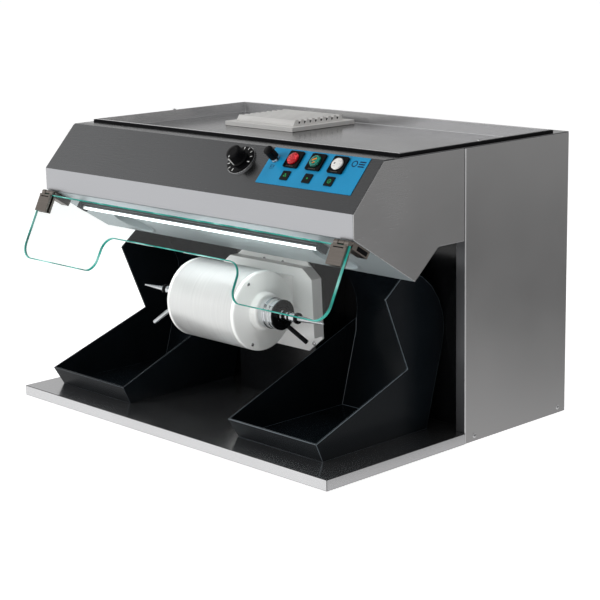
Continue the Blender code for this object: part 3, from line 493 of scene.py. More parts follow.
def slab(name, outline, low, high, look, place, edge=0.1 * MM):
    """An outline in a place's x and y, raised from low to high along its z."""
    bm = bmesh.new()
    face = bm.faces.new([bm.verts.new((x, y, low)) for x, y in outline])
    swept = bmesh.ops.extrude_face_region(bm, geom=[face], use_keep_orig=True)
    moved = [item for item in swept["geom"] if isinstance(item, bmesh.types.BMVert)]
    bmesh.ops.translate(bm, vec=(0, 0, high - low), verts=moved)
    bmesh.ops.recalc_face_normals(bm, faces=bm.faces)
    if edge:
        round_edges(bm, edge, 1)
    return piece_from(name, bm, look, place)


def rectangle(x_range, y_range):
    low_x, high_x = x_range
    low_y, high_y = y_range
    return [(low_x, low_y), (high_x, low_y), (high_x, high_y), (low_x, high_y)]


def arc(centre, radius, start, end, steps):
    """Points along an arc; angles in degrees."""
    angles = [math.radians(start + (end - start) * step / steps) for step in range(steps + 1)]
    return [(centre[0] + radius * math.cos(angle), centre[1] + radius * math.sin(angle)) for angle in angles]


def circle(centre, radius, steps):
    return arc(centre, radius, 0, 360, steps)[:-1]


def mirrored(profile, side):
    """A turned profile, swapped end for end on the left."""
    return [(side * along, radius) for along, radius in profile]


def in_mm(*points):
    """Points that are written in millimetres."""
    return [(first * MM, second * MM) for first, second in points]


def joined(name, pieces):
    """Several pieces of one look, made into one."""
    bm = bmesh.new()
    for piece in pieces:
        part = bmesh.new()
        part.from_mesh(piece.data)
        part.transform(piece.matrix_world)
        spare = bpy.data.meshes.new("spare")
        part.to_mesh(spare)
        part.free()
        bm.from_mesh(spare)
        bpy.data.meshes.remove(spare)
    look = pieces[0].data.materials[0]
    for piece in pieces:
        bpy.data.objects.remove(piece)
    mesh = bpy.data.meshes.new(name)
    bm.to_mesh(mesh)
    bm.free()
    mesh.materials.append(look)
    mesh.set_sharp_from_angle(angle=math.radians(35))
    made = bpy.data.objects.new(name, mesh)
    bpy.context.scene.collection.objects.link(made)
    return made


# ---------------------------------------------------------------- CAD nodes that stay
def dress(node, look, edge=0.35 * MM, edge_look=None):
    """A CAD node keeps its mesh, gets its look, and has its edges rounded as folded sheet or moulding. An
    edge look colours the rounded edges: lighter steel or the lighter tray edge there is a painted highlight,
    black is painted shade.
    """
    kept = NODES[node]
    kept.data.materials.clear()
    kept.data.materials.append(LOOKS[look])
    if not edge:
        return
    weld = kept.modifiers.new("weld", "WELD")
    weld.merge_threshold = 0.005 * MM
    flat = kept.modifiers.new("flat_faces", "DECIMATE")
    flat.decimate_type = "DISSOLVE"
    flat.angle_limit = math.radians(1)
    soft = kept.modifiers.new("soft_edges", "BEVEL")
    soft.width = edge
    soft.segments = 2
    soft.limit_method = "ANGLE"
    soft.angle_limit = math.radians(30)
    if edge_look:
        kept.data.materials.append(LOOKS[edge_look])
        soft.material = 1
    even = kept.modifiers.new("even_shading", "WEIGHTED_NORMAL")
    even.keep_sharp = False
    kept.data.shade_smooth()


def round_fold(node, reach, *directions):
    """Rounds one fold more than the rest: the edges at the node's furthest reach in the given directions."""
    kept = NODES[node]
    group = kept.vertex_groups.new(name="fold")
    points = [vertex.co for vertex in kept.data.vertices]
    for direction in directions:
        limit = max(point.dot(direction) for point in points) - 0.1 * MM
        points = [point for point in points if point.dot(direction) > limit]
    chosen = {tuple(point) for point in points}
    group.add([vertex.index for vertex in kept.data.vertices if tuple(vertex.co) in chosen], 1.0, "REPLACE")
    fold = kept.modifiers.new("round_fold", "BEVEL")
    fold.width = reach
    fold.segments = 4
    fold.limit_method = "VGROUP"
    fold.vertex_group = group.name
    fold.use_clamp_overlap = False
    # The rounded fold takes the lighter edge steel: a painted highlight
    if len(kept.data.materials) > 1:
        fold.material = 1
    place = [modifier.name for modifier in kept.modifiers].index("flat_faces") + 1
    kept.modifiers.move(len(kept.modifiers) - 1, place)


BUTTONS = ("red", "green", "white")


def dress_frame():
    # On side panels, cheeks, lid tray and fascia the lighter edge steel is a painted highlight on the rounded
    # edges
    for name, side in SIDES.items():
        dress(f"side_panel_{name}", "side", 0.35 * MM, "fold")
        round_fold(f"side_panel_{name}", 2.2 * MM, Vector((side, 0, 0)), FORWARD)
        dress(f"hood_cheek_{name}", "hood", 0.6 * MM, "fold")
        dress(f"hinge_arm_{name}", "clamp", 0.6 * MM)
        dress(f"glass_clamp_{name}", "clamp", 0.7 * MM)
        dress(f"bearing_{name}", "chrome")
        # The trays' rounded edges take the lighter tray edge, a painted highlight
        dress(f"dust_tray_{name}", "tray", 0.8 * MM, "tray_edge")
    # Black on the base pan's rounded edges: painted shade along its folds
    dress("base_pan", "base", 1.0 * MM, "black_steel")
    dress("rear_panel", "side")
    dress("hood_underside", "underside", 0)
    dress("hood_floor", "hood")
    # Top frame and lid tray take the darker lid steel, painted shade
    dress("top_frame", "lid")
    dress("lid_tray", "lid", 0.7 * MM, "fold")
    dress("lid_gasket", "rubber")
    dress("fascia", "fascia", 0.6 * MM, "fold")
    dress("bulkhead", "black_steel")
    dress("motor_pedestal", "black_steel")
    dress("blower_inlet_plate", "black_steel", 0)
    dress("mains_inlet", "black")
    dress("vent_base", "vent", 0.6 * MM)
    dress("lamp_batten", "batten", 0.4 * MM)
    dress("motor_bracket", "bracket", 0.8 * MM)
    dress("control_label", "label", 0)
    dress("blower_motor", "bracket", 0)
    for node in ("filter_mat", "filter_cartridge"):
        dress(node, "cloth", 0)
    for node in ("exhaust_duct", "blower_impeller"):
        dress(node, "black", 0)
    for node in ("stator", "rotor_shaft"):
        dress(node, "windings", 0)
    for colour in BUTTONS:
        dress(f"button_bezel_{colour}", "black", 0.5 * MM)
        dress(f"indicator_window_{colour}", "window", 0.2 * MM)


def paint_faces(node, look, chosen):
    """Gives some of a CAD node's faces another look."""
    kept = NODES[node]
    kept.data.materials.append(LOOKS[look])
    for face in kept.data.polygons:
        if chosen(face):
            face.material_index = len(kept.data.materials) - 1


# ---------------------------------------------------------------- screws
# Each kind of screw head's radius and height.
PANEL_SCREW = (4.4 * MM, 1.15 * MM)
LID_SCREW = (3.2 * MM, 2.7 * MM)
REAR_SCREW = (3.8 * MM, 1.7 * MM)
BRACKET_SCREW = (4.0 * MM, 2.4 * MM)
END_SCREW = (3.2 * MM, 1.6 * MM)
CLAMP_SCREW = (2.6 * MM, 1.4 * MM)
REAR_SCREWS_PER_ROW = 4


def screw(name, place, size, body):
    """A pan head with a cross recess, drawn as thin black bars laid on the head, painted shade; its local x
    points out of the surface.
    """
    radius, height = size
    rise = [(0, 0), (0, radius), (height * 0.35, radius), (height * 0.75, radius * 0.82),
            (height, radius * 0.45), (height, 0)]
    head = turned(f"{name}_head", rise, "screw", place, 0, 32)
    # The recess is not cut: black bars stand for its shade, painted shade
    reach, half = radius * 0.55, radius * 0.11
    slots = []
    for turn in (0, math.pi / 2):
        lying = place @ Matrix.Rotation(turn, 4, "X") @ Matrix.Rotation(math.pi / 2, 4, "Y")
        outline = rectangle((-half, half), (-reach, reach))
        slots.append(slab(f"{name}_slot", outline, height * 0.9, height + 0.02 * MM, "black", lying, 0))
    wear(joined(f"{name}_recess", slots), body, "black_plastic")
    return wear(head, body, "chrome")


def facing(point, direction):
    """A place whose local x points along a direction."""
    return Matrix.Translation(point) @ Vector(direction).to_track_quat("X", "Z").to_matrix().to_4x4()


def add_screws():
    low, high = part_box("side_panel_right")
    panel_places = {"front": (low.y + 24 * MM, 9.6 * MM), "rear": (high.y - 20.5 * MM, 10.4 * MM)}
    lid_low, lid_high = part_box("lid_tray")
    for name, side in SIDES.items():
        for place, (y, z) in panel_places.items():
            where = facing((side * high.x, y, z), (side, 0, 0))
            screw(f"panel_screw_{name}_{place}", where, PANEL_SCREW, "frame")
        rim = facing((side * lid_high.x, lid_low.y + 190 * MM, lid_high.z - 0.6 * MM), UP)
        screw(f"lid_screw_{name}", rim, LID_SCREW, "frame")

    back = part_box("rear_panel")[1]
    for row, z in {"low": 35 * MM, "high": back.z - 15 * MM}.items():
        for index in range(REAR_SCREWS_PER_ROW):
            x = (index / (REAR_SCREWS_PER_ROW - 1) - 0.5) * 2 * (back.x - 30 * MM)
            screw(f"rear_screw_{row}_{index + 1}", facing((x, back.y, z), BACK), REAR_SCREW, "frame")

    plate_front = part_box("motor_bracket")[1].y - 3 * MM
    for index, (x, z) in enumerate(in_mm((100, 133), (-100, 133), (24, 268), (-24, 268))):
        screw(f"bracket_screw_{index + 1}", facing((x, plate_front, z), FORWARD), BRACKET_SCREW, "frame")


# ---------------------------------------------------------------- motor
END_SCREW_RADIUS = 61 * MM
END_SCREW_ANGLES = (-33, 87, 207)        # from straight up, towards the rear
HOUSING_WALL = 7.5 * MM
# Along the spindle from the motor's middle: an end cap's face, its boss, and the collar on the boss.
CAP_FACE = 88 * MM
CAP_BOSS = 101 * MM
COLLAR_END = 117 * MM
SHAFT_BORE = 12.5 * MM
COLLAR_RADIUS = 27 * MM
COLLAR_WAIST = 25.8 * MM


def make_motor():
    high = local_box("motor_housing", SPINDLE)[1]
    radius, half = high.z, high.x
    inner = radius - HOUSING_WALL
    shell = ring("motor_shell", (-half, half), inner, radius, "housing", SPINDLE, 0.5 * MM, 160)
    wear(shell, "frame", "silver", "motor_housing")

    for name, side in SIDES.items():
        face, boss, end = CAP_FACE, CAP_BOSS, COLLAR_END
        cap = [(half + GAP, 26 * MM), (half + GAP, radius), (face - 3 * MM, radius),
               (face - 1.2 * MM, radius - 0.6 * MM), (face - 0.3 * MM, radius - 1.8 * MM),
               (face, radius - 4 * MM), (face, 36 * MM), (face + 1 * MM, 33.5 * MM),
               (boss - 3 * MM, 32 * MM), (boss - 1 * MM, 31.2 * MM), (boss, 29.5 * MM), (boss, SHAFT_BORE)]
        cap += in_mm((78.5, 12.5), (78.5, 19.8), (60, 19.8), (60, 26))
        made = turned(f"end_cap_{name}", mirrored(cap, side), "end_face", SPINDLE, 0.25 * MM, 160)
        wear(made, "frame", "silver", f"motor_end_cap_{name}")
        neck = [(boss + 0.05 * MM, SHAFT_BORE), (boss + 0.05 * MM, 25.5 * MM), (boss + 1.5 * MM, 25.5 * MM),
                (boss + 1.5 * MM, COLLAR_RADIUS), (end - 3 * MM, COLLAR_RADIUS), (end - 3 * MM, COLLAR_WAIST),
                (end, COLLAR_WAIST), (end, SHAFT_BORE)]
        collar = turned(f"end_collar_{name}", mirrored(neck, side), "chrome", SPINDLE, 0.3 * MM, 128)
        wear(collar, "frame", "chrome")
        for index, degrees in enumerate(END_SCREW_ANGLES):
            angle = math.radians(degrees)
            around = Vector((0, math.sin(angle), math.cos(angle))) * END_SCREW_RADIUS
            where = facing(SPINDLE_CENTRE + Vector((side * face, 0, 0)) + around, (side, 0, 0))
            screw(f"end_screw_{name}_{index + 1}", where, END_SCREW, "frame")


def tapered_thread(name, start, end, root, tip, side):
    """The screwed taper that a wheel winds itself on to, with a shallow round thread."""
    pitch, depth = 2.6 * MM, 0.35 * MM
    rows, around = 176, 40
    bm = bmesh.new()
    loops = []
    for row in range(rows + 1):
        share = row / rows
        along = start + (end - start) * share
        taper = root + (tip - root) * share
        fade = min(1.0, share * 12, (1 - share) * 12)
        loop = []
        for step in range(around):
            turn = 2 * math.pi * step / around
            wave = math.cos(2 * math.pi * along / pitch - turn)
            radius = taper - depth * fade * (0.5 - 0.5 * wave) * min(1.0, taper / (2 * MM))
            point = (side * along, radius * math.sin(turn), radius * math.cos(turn))
            loop.append(bm.verts.new(point))
        loops.append(loop)
    bridge(bm, loops)
    nose = bm.verts.new((side * (end + 0.9 * MM), 0, 0))
    for step in range(around):
        bm.faces.new((loops[-1][step], loops[-1][(step + 1) % around], nose))
    bm.faces.new(loops[0])
    return piece_from(name, bm, "chrome", SPINDLE, 50)


def make_spindles():
    """On each side a stepped holder with two cross holes drawn as black discs, painted shade, a black collar
    and the tapered thread.
    """
    for name, side in SIDES.items():
        holder = in_mm((130.3, 0), (130.3, 10), (138.5, 10), (139.2, 8), (150, 8), (150.8, 7.4),
                       (153, 7.4), (153.8, 8), (169.8, 8), (169.8, 0))
        made = turned(f"spindle_holder_{name}", mirrored(holder, side), "chrome", SPINDLE, 0.25 * MM, 72)
        wear(made, "spindle", "chrome", f"spindle_{name}")
        collar = ring(f"spindle_collar_{name}", sorted((side * 170 * MM, side * 175 * MM)), 5 * MM, 9.5 * MM,
                      "black", SPINDLE, 0.5 * MM, 72)
        wear(collar, "spindle", "black_plastic")
        thread = tapered_thread(f"spindle_taper_{name}", 170.2 * MM, 233.9 * MM, 6 * MM, 1.4 * MM, side)
        wear(thread, "spindle", "chrome")
        # Black discs for the cross holes: painted shade
        for index, turn in enumerate((0, math.pi)):
            out = Vector((0, math.sin(turn + 0.9), math.cos(turn + 0.9)))
            where = facing(SPINDLE_CENTRE + Vector((side * 161.5 * MM, 0, 0)) + out * 7.6 * MM, out)
            hole = disc(f"spindle_hole_shade_{name}_{index + 1}", (0, 0.45 * MM), 1.7 * MM, "black", where, 0, 24)
            wear(hole, "spindle", "black_plastic")


LEVER_ANGLE = math.radians(30)
# Where each rod ends: along the spindle from the motor's middle, and out from the spindle's axis.
LEVER_TIPS = {"left": (171 * MM, 65 * MM), "right": (165 * MM, 56 * MM)}
LEVER_LOOKS = {"left": ("chrome", "chrome"), "right": ("black", "black_steel")}


def make_levers():
    """Each lever is a grooved collar and a disc round the spindle, with a rod that splays out and down."""
    for name, side in SIDES.items():
        look, slot = LEVER_LOOKS[name]
        body = f"lever_{name}"
        inner, rim, outer = 12.5, 25.2, 26
        collar = in_mm((117.3, inner), (117.3, rim), (118, outer), (125.5, outer), (126.2, rim), (128.5, rim),
                       (129.1, outer), (132.8, outer), (133.5, rim), (133.5, inner))
        grooved = turned(f"lever_collar_{name}", mirrored(collar, side), "chrome", SPINDLE, 0.15 * MM, 128)
        wear(grooved, body, "chrome")
        hub = in_mm((133.7, inner), (133.7, rim), (134.2, outer), (136.2, outer), (137, rim), (137, 20),
                    (135.7, 19), (135.7, inner))
        plate = turned(f"lever_hub_{name}", mirrored(hub, side), look, SPINDLE, 0.15 * MM, 128)
        wear(plate, body, slot, f"release_lever_{name}")
        along, reach = LEVER_TIPS[name]
        out = Vector((0, side * math.sin(LEVER_ANGLE), -math.cos(LEVER_ANGLE)))
        root = SPINDLE_CENTRE + Vector((side * 128 * MM, 0, 0)) + out * 19 * MM
        tip = SPINDLE_CENTRE + Vector((side * along, 0, 0)) + out * reach
        length = (tip - root).length
        rod = [(0, 0), (0, 4 * MM), (length - 1 * MM, 4 * MM), (length, 3 * MM), (length, 0)]
        wear(turned(f"lever_rod_{name}", rod, look, facing(root, tip - root), 0.3 * MM, 40), body, slot)


# ---------------------------------------------------------------- glass door
def glass_outline(edge_inset=0.0):
    """One half of the shield's edge, from the raised middle out to the side, then mirrored."""
    low, high = local_box("glass_shield", DOOR)
    bottom, side = high.y - edge_inset, high.x - edge_inset
    half = arc((0.152, 0.0885), 0.026 + edge_inset, -90, -12, 14)
    half += arc((0.204, 0.102), 0.026 - edge_inset, 168, 90, 14)
    half += arc((side - 0.028, bottom - 0.028), 0.028, 90, 0, 14)
    half.append((side, low.y + edge_inset))
    return half + [(-x, y) for x, y in reversed(half)]


def make_glass():
    """The sheet with its cut edges broken, and a narrow band inside them that takes their green."""
    half = local_box("glass_shield", DOOR)[1].z
    arris, glow = 0.35 * MM, 1.9 * MM
    levels = [(-half, glow), (-half, arris), (arris - half, 0),
              (half - arris, 0), (half, arris), (half, glow)]
    bm = bmesh.new()
    loops = []
    for z, inset in levels:
        loops.append([bm.verts.new((x, y, z)) for x, y in glass_outline(inset)])
    for face in bridge(bm, loops):
        face.material_index = 1
    bm.faces.new(loops[0])
    bm.faces.new(loops[-1])
    sheet = piece_from("glass_sheet", bm, "glass", DOOR, 40)
    sheet.data.materials.append(LOOKS["glass_edge"])
    wear(sheet, "glass_door", "glass", "glass_shield")


def make_clamp_details():
    """A cap strip with a black strip for the dark of the slot along the top of each clamp, painted shade, and
    an insert in each hinge arm.
    """
    for name, side in SIDES.items():
        low, high = local_box(f"glass_clamp_{name}", DOOR)
        # Black strip for the slot: painted shade
        slot_outline = rectangle((low.x + 5 * MM, high.x - 5 * MM), (8.5 * MM, 10.3 * MM))
        slot = slab(f"clamp_slot_shade_{name}", slot_outline, high.z - 0.4 * MM, high.z + 0.08 * MM,
                    "black", DOOR, 0)
        wear(slot, "glass_door", "black_plastic")
        cap_outline = rectangle((low.x, high.x), (5.2 * MM, 7.6 * MM))
        cap = slab(f"clamp_cap_{name}", cap_outline, high.z - 0.5 * MM, high.z + 0.9 * MM,
                   "clamp", DOOR, 0.3 * MM)
        wear(cap, "glass_door", "clamp_metal")
        for index, x in enumerate((low.x + 8 * MM, high.x - 8 * MM)):
            back = Matrix.Translation((x, 24 * MM, low.z)) @ Matrix.Rotation(math.pi / 2, 4, "Y")
            screw(f"clamp_screw_{name}_{index + 1}", DOOR @ back, CLAMP_SCREW, "glass_door")

        arm_low, arm_high = local_box(f"hinge_arm_{name}", UNDERSIDE)
        outer = arm_high.x if side > 0 else arm_low.x
        flank = UNDERSIDE @ Matrix.Translation((outer, 0, 0)) @ Matrix.Rotation(side * math.pi / 2, 4, "Y")
        outline = rectangle(sorted((side * 2.9 * MM, side * 10.2 * MM)), (15 * MM, 40 * MM))
        insert = slab(f"arm_insert_{name}", outline, -0.3 * MM, 0.15 * MM, "black", flank, 0)
        wear(insert, "frame", "black_plastic")


# ---------------------------------------------------------------- lamp and suction ports
LAMP_END_CAP = 6 * MM


def make_lamp():
    low, high = local_box("lamp_tube", UNDERSIDE)
    radius = (high.y - low.y) / 2
    half = (high.x - low.x) / 2
    place = on(UNDERSIDE, *(low + high) / 2)
    lit = half - LAMP_END_CAP
    tube = disc("lamp_glow_tube", (-lit, lit), radius, "lamp", place, 0.8 * MM, 48)
    wear(tube, "frame", "lamp", "lamp_tube")
    for name, side in SIDES.items():
        span = sorted((side * (lit + 0.1 * MM), side * half))
        end = disc(f"lamp_end_{name}", span, radius + 0.2 * MM, "bracket", place, 0.4 * MM, 48)
        wear(end, "frame", "silver")


PORT_OUTER = 39.7 * MM
PORT_INNER = 38.2 * MM
PORT_FLANGE = 44 * MM


def make_ports():
    """Each port is a rolled ring round a sleeve, with a black disc inside for the dark of its throat, painted
    shade.
    """
    for name in SIDES:
        low, high = local_box(f"suction_port_{name}", UNDERSIDE)
        centre = (low + high) / 2
        place = on(UNDERSIDE, centre.x, centre.y) @ UPRIGHT
        profile = [(-1.5 * MM, PORT_INNER + 1.2 * MM), (-1.2 * MM, PORT_FLANGE - 1.5 * MM),
                   (-0.4 * MM, PORT_FLANGE), (-GAP, PORT_FLANGE), (-GAP, PORT_OUTER), (high.z, PORT_OUTER),
                   (high.z, PORT_INNER), (0.8 * MM, PORT_INNER), (-0.8 * MM, PORT_INNER + 0.3 * MM)]
        rolled = turned(f"port_ring_{name}", profile, "underside", place, 0, 96)
        wear(rolled, "frame", "stainless", f"suction_port_{name}")
        # Black disc down the sleeve: painted shade of the throat
        throat = (high.z - 4 * MM, high.z - 3 * MM)
        back = disc(f"port_throat_shade_{name}", throat, PORT_INNER - 0.1 * MM, "black", place, 0, 48)
        wear(back, "frame", "black_plastic")


# ---------------------------------------------------------------- controls
TICK_TOP = 0.12 * MM
POINTER_ANGLE = -97.0
DIAL_SWEEP = 270.0
DIAL_TICKS = 11
LONG_TICK_EVERY = 5
POINTER_WIDTH = (-0.8 * MM, 0.8 * MM)


def ribbed(piece, inner_radius, outer_along, ribs, depth):
    """Presses grip ribs into the flank of a turned piece."""
    low, high = outer_along
    for vertex in piece.data.vertices:
        radius = math.hypot(vertex.co.y, vertex.co.z)
        if radius > inner_radius and low < vertex.co.x < high:
            angle = math.atan2(vertex.co.y, vertex.co.z)
            shrink = 1 - depth * (0.5 + 0.5 * math.cos(ribs * angle)) / radius
            vertex.co.y *= shrink
            vertex.co.z *= shrink
    return piece


def turned_place(joint):
    """A knob's place: z out of the fascia, on the joint's axis."""
    return frame_at(JOINTS[joint]["pos_m"], RIGHT, RIGHT.cross(FASCIA_IN))


def make_dial():
    """The scale disc in its bright rim, and a ribbed knob with a white pointer line."""
    place = turned_place("dial_turn")
    axis = place @ UPRIGHT
    high = local_box("dial_plate", place)[1]
    radius, top = high.x, high.z
    plate = [(GAP, 5.3 * MM), (GAP, radius - 0.2 * MM), (1 * MM, radius), (top - 0.8 * MM, radius),
             (top, radius - 0.8 * MM), (top, 5.3 * MM)]
    wear(turned("dial_disc", plate, "black", axis, 0.2 * MM, 96), "frame", "black_plastic", "dial_plate")
    # The rim ring is the lighter edge steel: a painted highlight round the disc
    rim = ring("dial_rim", (GAP, 2.4 * MM), radius + 0.05 * MM, radius + 0.9 * MM, "fold", axis, 0.2 * MM)
    wear(rim, "frame", "chrome")
    ticks = []
    for index in range(DIAL_TICKS):
        angle = math.radians(POINTER_ANGLE - DIAL_SWEEP * index / (DIAL_TICKS - 1))
        inner = radius - (7.0 if index % LONG_TICK_EVERY == 0 else 6.0) * MM
        outline = rectangle((inner, radius - 1.8 * MM), (-0.7 * MM, 0.7 * MM))
        turn = place @ Matrix.Rotation(angle, 4, "Z")
        ticks.append(slab(f"tick_{index}", outline, top, top + TICK_TOP, "tick", turn, 0))
    wear(joined("dial_ticks", ticks), "frame", "vent_plastic")

    knob_high = local_box("dial_knob", place)[1]
    foot, height, skirt = top + 0.3 * MM, knob_high.z, knob_high.x
    shoulder = skirt - 2.2 * MM
    profile = [(-12 * MM, 0), (-12 * MM, 5 * MM), (foot, 5 * MM), (foot, skirt - 0.3 * MM),
               (foot + 0.6 * MM, skirt), (foot + 2.2 * MM, skirt), (foot + 3.0 * MM, skirt - 0.5 * MM)]
    flank_rows = 5
    for row in range(flank_rows + 1):
        share = row / flank_rows
        along = foot + 3.4 * MM + share * (height - foot - 5.4 * MM)
        profile.append((along, skirt - 0.6 * MM - share * 0.9 * MM))
    profile += [(height - 0.7 * MM, shoulder + 0.2 * MM), (height, shoulder - 1.0 * MM), (height, 8 * MM),
                (height - 0.5 * MM, 7.4 * MM), (height - 0.5 * MM, 0)]
    grip = ribbed(turned("dial_grip", profile, "black", axis, 0, 192), 12 * MM,
                  (foot + 3.2 * MM, height - 1.2 * MM), 24, 0.8 * MM)
    wear(grip, "dial", "black_plastic", "dial_knob")
    turn = place @ Matrix.Rotation(math.radians(POINTER_ANGLE), 4, "Z")
    crown = slab("dial_pointer", rectangle((9 * MM, shoulder - 1 * MM), POINTER_WIDTH), height,
                 height + TICK_TOP, "tick", turn, 0)
    flank = slab("dial_pointer_side", rectangle((skirt - 2 * MM, skirt - 0.3 * MM), POINTER_WIDTH),
                 foot + 3.4 * MM, height - 2.0 * MM, "tick", turn, 0)
    wear(joined("dial_pointer_line", [crown, flank]), "dial", "vent_plastic")


def make_small_knob():
    """A bright nut and a slim ribbed knob, which stays just inside its node and so inside the CAD's box."""
    place = turned_place("knob_turn")
    axis = place @ UPRIGHT
    high = local_box("small_knob_collar", place)[1]
    collar = [(GAP, 4.3 * MM), (GAP, high.x), (1.8 * MM, high.x), (1.8 * MM, high.x - 1 * MM),
              (high.z, high.x - 1.4 * MM), (high.z, 4.3 * MM)]
    wear(turned("knob_nut", collar, "chrome", axis, 0.2 * MM, 64), "frame", "silver", "small_knob_collar")
    high = local_box("small_knob", place)[1]
    radius, top, foot = high.x - 0.4 * MM, high.z - 0.6 * MM, 5.8 * MM
    profile = [(-12 * MM, 0), (-12 * MM, 4 * MM), (foot, 4 * MM), (foot, radius - 0.6 * MM),
               (foot + 0.6 * MM, radius), (foot + 1.2 * MM, radius), (top - 6 * MM, radius),
               (top - 5.4 * MM, radius - 0.7 * MM), (top - 4.6 * MM, radius - 0.7 * MM),
               (top - 4.0 * MM, radius), (top - 1.2 * MM, radius), (top - 0.3 * MM, radius - 0.6 * MM),
               (top, radius - 1.5 * MM), (top, 0)]
    grip = ribbed(turned("knob_grip", profile, "black", axis, 0, 128), 7 * MM,
                  (foot + 1.1 * MM, top - 5.8 * MM), 16, 0.7 * MM)
    wear(grip, "knob", "black_plastic", "small_knob")


def make_caps():
    """Each push button's domed lens, and on its bezel a raised ring and a short bright dash at its lower
    edge, a painted highlight.
    """
    for name in BUTTONS:
        body = JOINTS[f"button_{name}_press"]["child"]
        low, high = local_box(f"button_cap_{name}", FASCIA)
        centre = (low + high) / 2
        face = on(FASCIA, centre.x, centre.y)
        place = face @ UPRIGHT
        radius, top = high.x - centre.x, high.z
        flange = 4.9 * MM
        profile = [(-12 * MM, 0), (-12 * MM, 8.8 * MM), (flange, 8.8 * MM), (flange, radius),
                   (top - 1.6 * MM, radius), (top - 0.8 * MM, radius - 0.6 * MM),
                   (top - 0.35 * MM, radius - 2.0 * MM), (top - 0.1 * MM, radius - 5.5 * MM), (top, 0)]
        dome = turned(f"button_lens_{name}", profile, name, place, 0.15 * MM, 72)
        wear(dome, body, f"{name}_lens", f"button_cap_{name}")
        bezel_top = local_box(f"button_bezel_{name}", FASCIA)[1].z
        rim = ring(f"bezel_ring_{name}", (bezel_top - 1 * MM, bezel_top + 0.5 * MM), 11.4 * MM, 12.6 * MM,
                   "black", place, 0.2 * MM, 72)
        wear(rim, "frame", "black_plastic")
        # Bright dash along the bezel's lower edge: painted highlight
        dash = slab(f"bezel_edge_highlight_{name}", rectangle((-8 * MM, 8 * MM), (-14.2 * MM, -13.5 * MM)), bezel_top,
                    bezel_top + 0.1 * MM, "clamp", face, 0)
        wear(dash, "frame", "clamp_metal")
        add_lens_marks(name, face, top, body)


def add_lens_marks(name, face, top, body):
    """What shows inside each lens: a halo and two bright strips, a small dark spot, or in the red lens a
    lighter red spot that is a painted highlight.
    """
    level = (top - 0.45 * MM, top + 0.06 * MM)
    if name == "green":
        halo = outline_ring("green_halo", circle((0, 0), 9.0 * MM, 40), 0.22, top - 1.0 * MM,
                            top - 0.30 * MM, "teal", face)
        wear(halo, body, "green_lens")
        tilt = face @ Matrix.Rotation(math.radians(25), 4, "Z")
        strips = (rectangle((-4.5 * MM, 4.5 * MM), (1.0 * MM, 3.6 * MM)),
                  rectangle((-3.5 * MM, 1.5 * MM), (-4.6 * MM, -3.0 * MM)))
        spots = [slab("spot", strip, *level, "amber", tilt, 0) for strip in strips]
        wear(joined("green_filament", spots), body, "copper_steel")
    elif name == "white":
        spot = slab("white_filament", circle((-3.6 * MM, -0.6 * MM), 1.5 * MM, 16), *level, "black", face, 0)
        wear(spot, body, "black_plastic")
    else:
        # Lighter red spot on the dome: painted highlight
        spot = slab("red_lens_highlight", circle((3.0 * MM, 1.0 * MM), 2.2 * MM, 16), *level, "pale", face, 0)
        wear(spot, body, "red_lens")


def outline_ring(name, outline, inset, low, high, look, place):
    """A closed line of even width, just inside an outline."""
    bm = bmesh.new()
    centre = Vector((sum(x for x, y in outline), sum(y for x, y in outline))) / len(outline)
    levels = []
    for z, share in ((low, 1), (high, 1), (high, 1 - inset), (low, 1 - inset)):
        points = [centre + (Vector(point) - centre) * share for point in outline]
        levels.append([bm.verts.new((point.x, point.y, z)) for point in points])
    bridge(bm, levels + levels[:1])
    return piece_from(name, bm, look, place)


def make_glyphs():
    """Plain signs: a fan, a dot and a wheel in the windows, a lamp under the small knob, a wheel and bars."""
    height = 0.15 * MM
    for name in BUTTONS:
        low, high = local_box(f"indicator_window_{name}", FASCIA)
        place = on(FASCIA, (low.x + high.x) / 2, (low.y + high.y) / 2, high.z - 0.05 * MM)
        marks = []
        if name == "red":
            for turn in (0, 120, 240):
                where = place @ Matrix.Rotation(math.radians(turn + 90), 4, "Z")
                marks.append(slab("blade", circle((2.2 * MM, 0), 1.5 * MM, 12), 0, height, "glyph", where, 0))
        elif name == "green":
            marks.append(slab("dot", circle((0, 0), 1.7 * MM, 16), 0, height, "glyph", place, 0))
        else:
            marks.append(outline_ring("wheel", circle((0, 0), 4.0 * MM, 24), 0.28, 0, height, "glyph", place))
            marks.append(slab("axle", circle((0, 0), 1.1 * MM, 12), 0, height, "glyph", place, 0))
        wear(joined(f"window_sign_{name}", marks), "frame", "green_lens")

    label_high = local_box("control_label", FASCIA)[1]
    level = label_high.z - 0.02 * MM
    knob_x = (FASCIA.inverted() @ Vector(JOINTS["knob_turn"]["pos_m"])).x
    sign = on(FASCIA, knob_x + 1 * MM, label_high.y - 36 * MM, level)
    lamp = rectangle((-4 * MM, 4 * MM), (-2.4 * MM, 2.4 * MM))
    rays = [outline_ring("lamp_sign_body", lamp, 0.3, 0, height, "ink", sign)]
    for x in (-3 * MM, 0, 3 * MM):
        ray = rectangle((x - 0.4 * MM, x + 0.4 * MM), (-6 * MM, -3.6 * MM))
        rays.append(slab("ray", ray, 0, height, "ink", sign, 0))
    wear(joined("lamp_sign", rays), "frame", "label")

    place = on(FASCIA, label_high.x - 19 * MM, label_high.y - 13 * MM, level)
    marks = [outline_ring("wheel_sign", circle((-8 * MM, 0), 6 * MM, 32), 0.3, 0, height, "ink", place)]
    for y in (-4.4 * MM, 0, 4.4 * MM):
        bar = rectangle((1 * MM, 14 * MM), (y - 1.1 * MM, y + 1.1 * MM))
        marks.append(slab("bar", bar, 0, height, "ink", place, 0))
    wear(joined("maker_free_sign", marks), "frame", "label")


# ---------------------------------------------------------------- vent
LOUVRES = 9


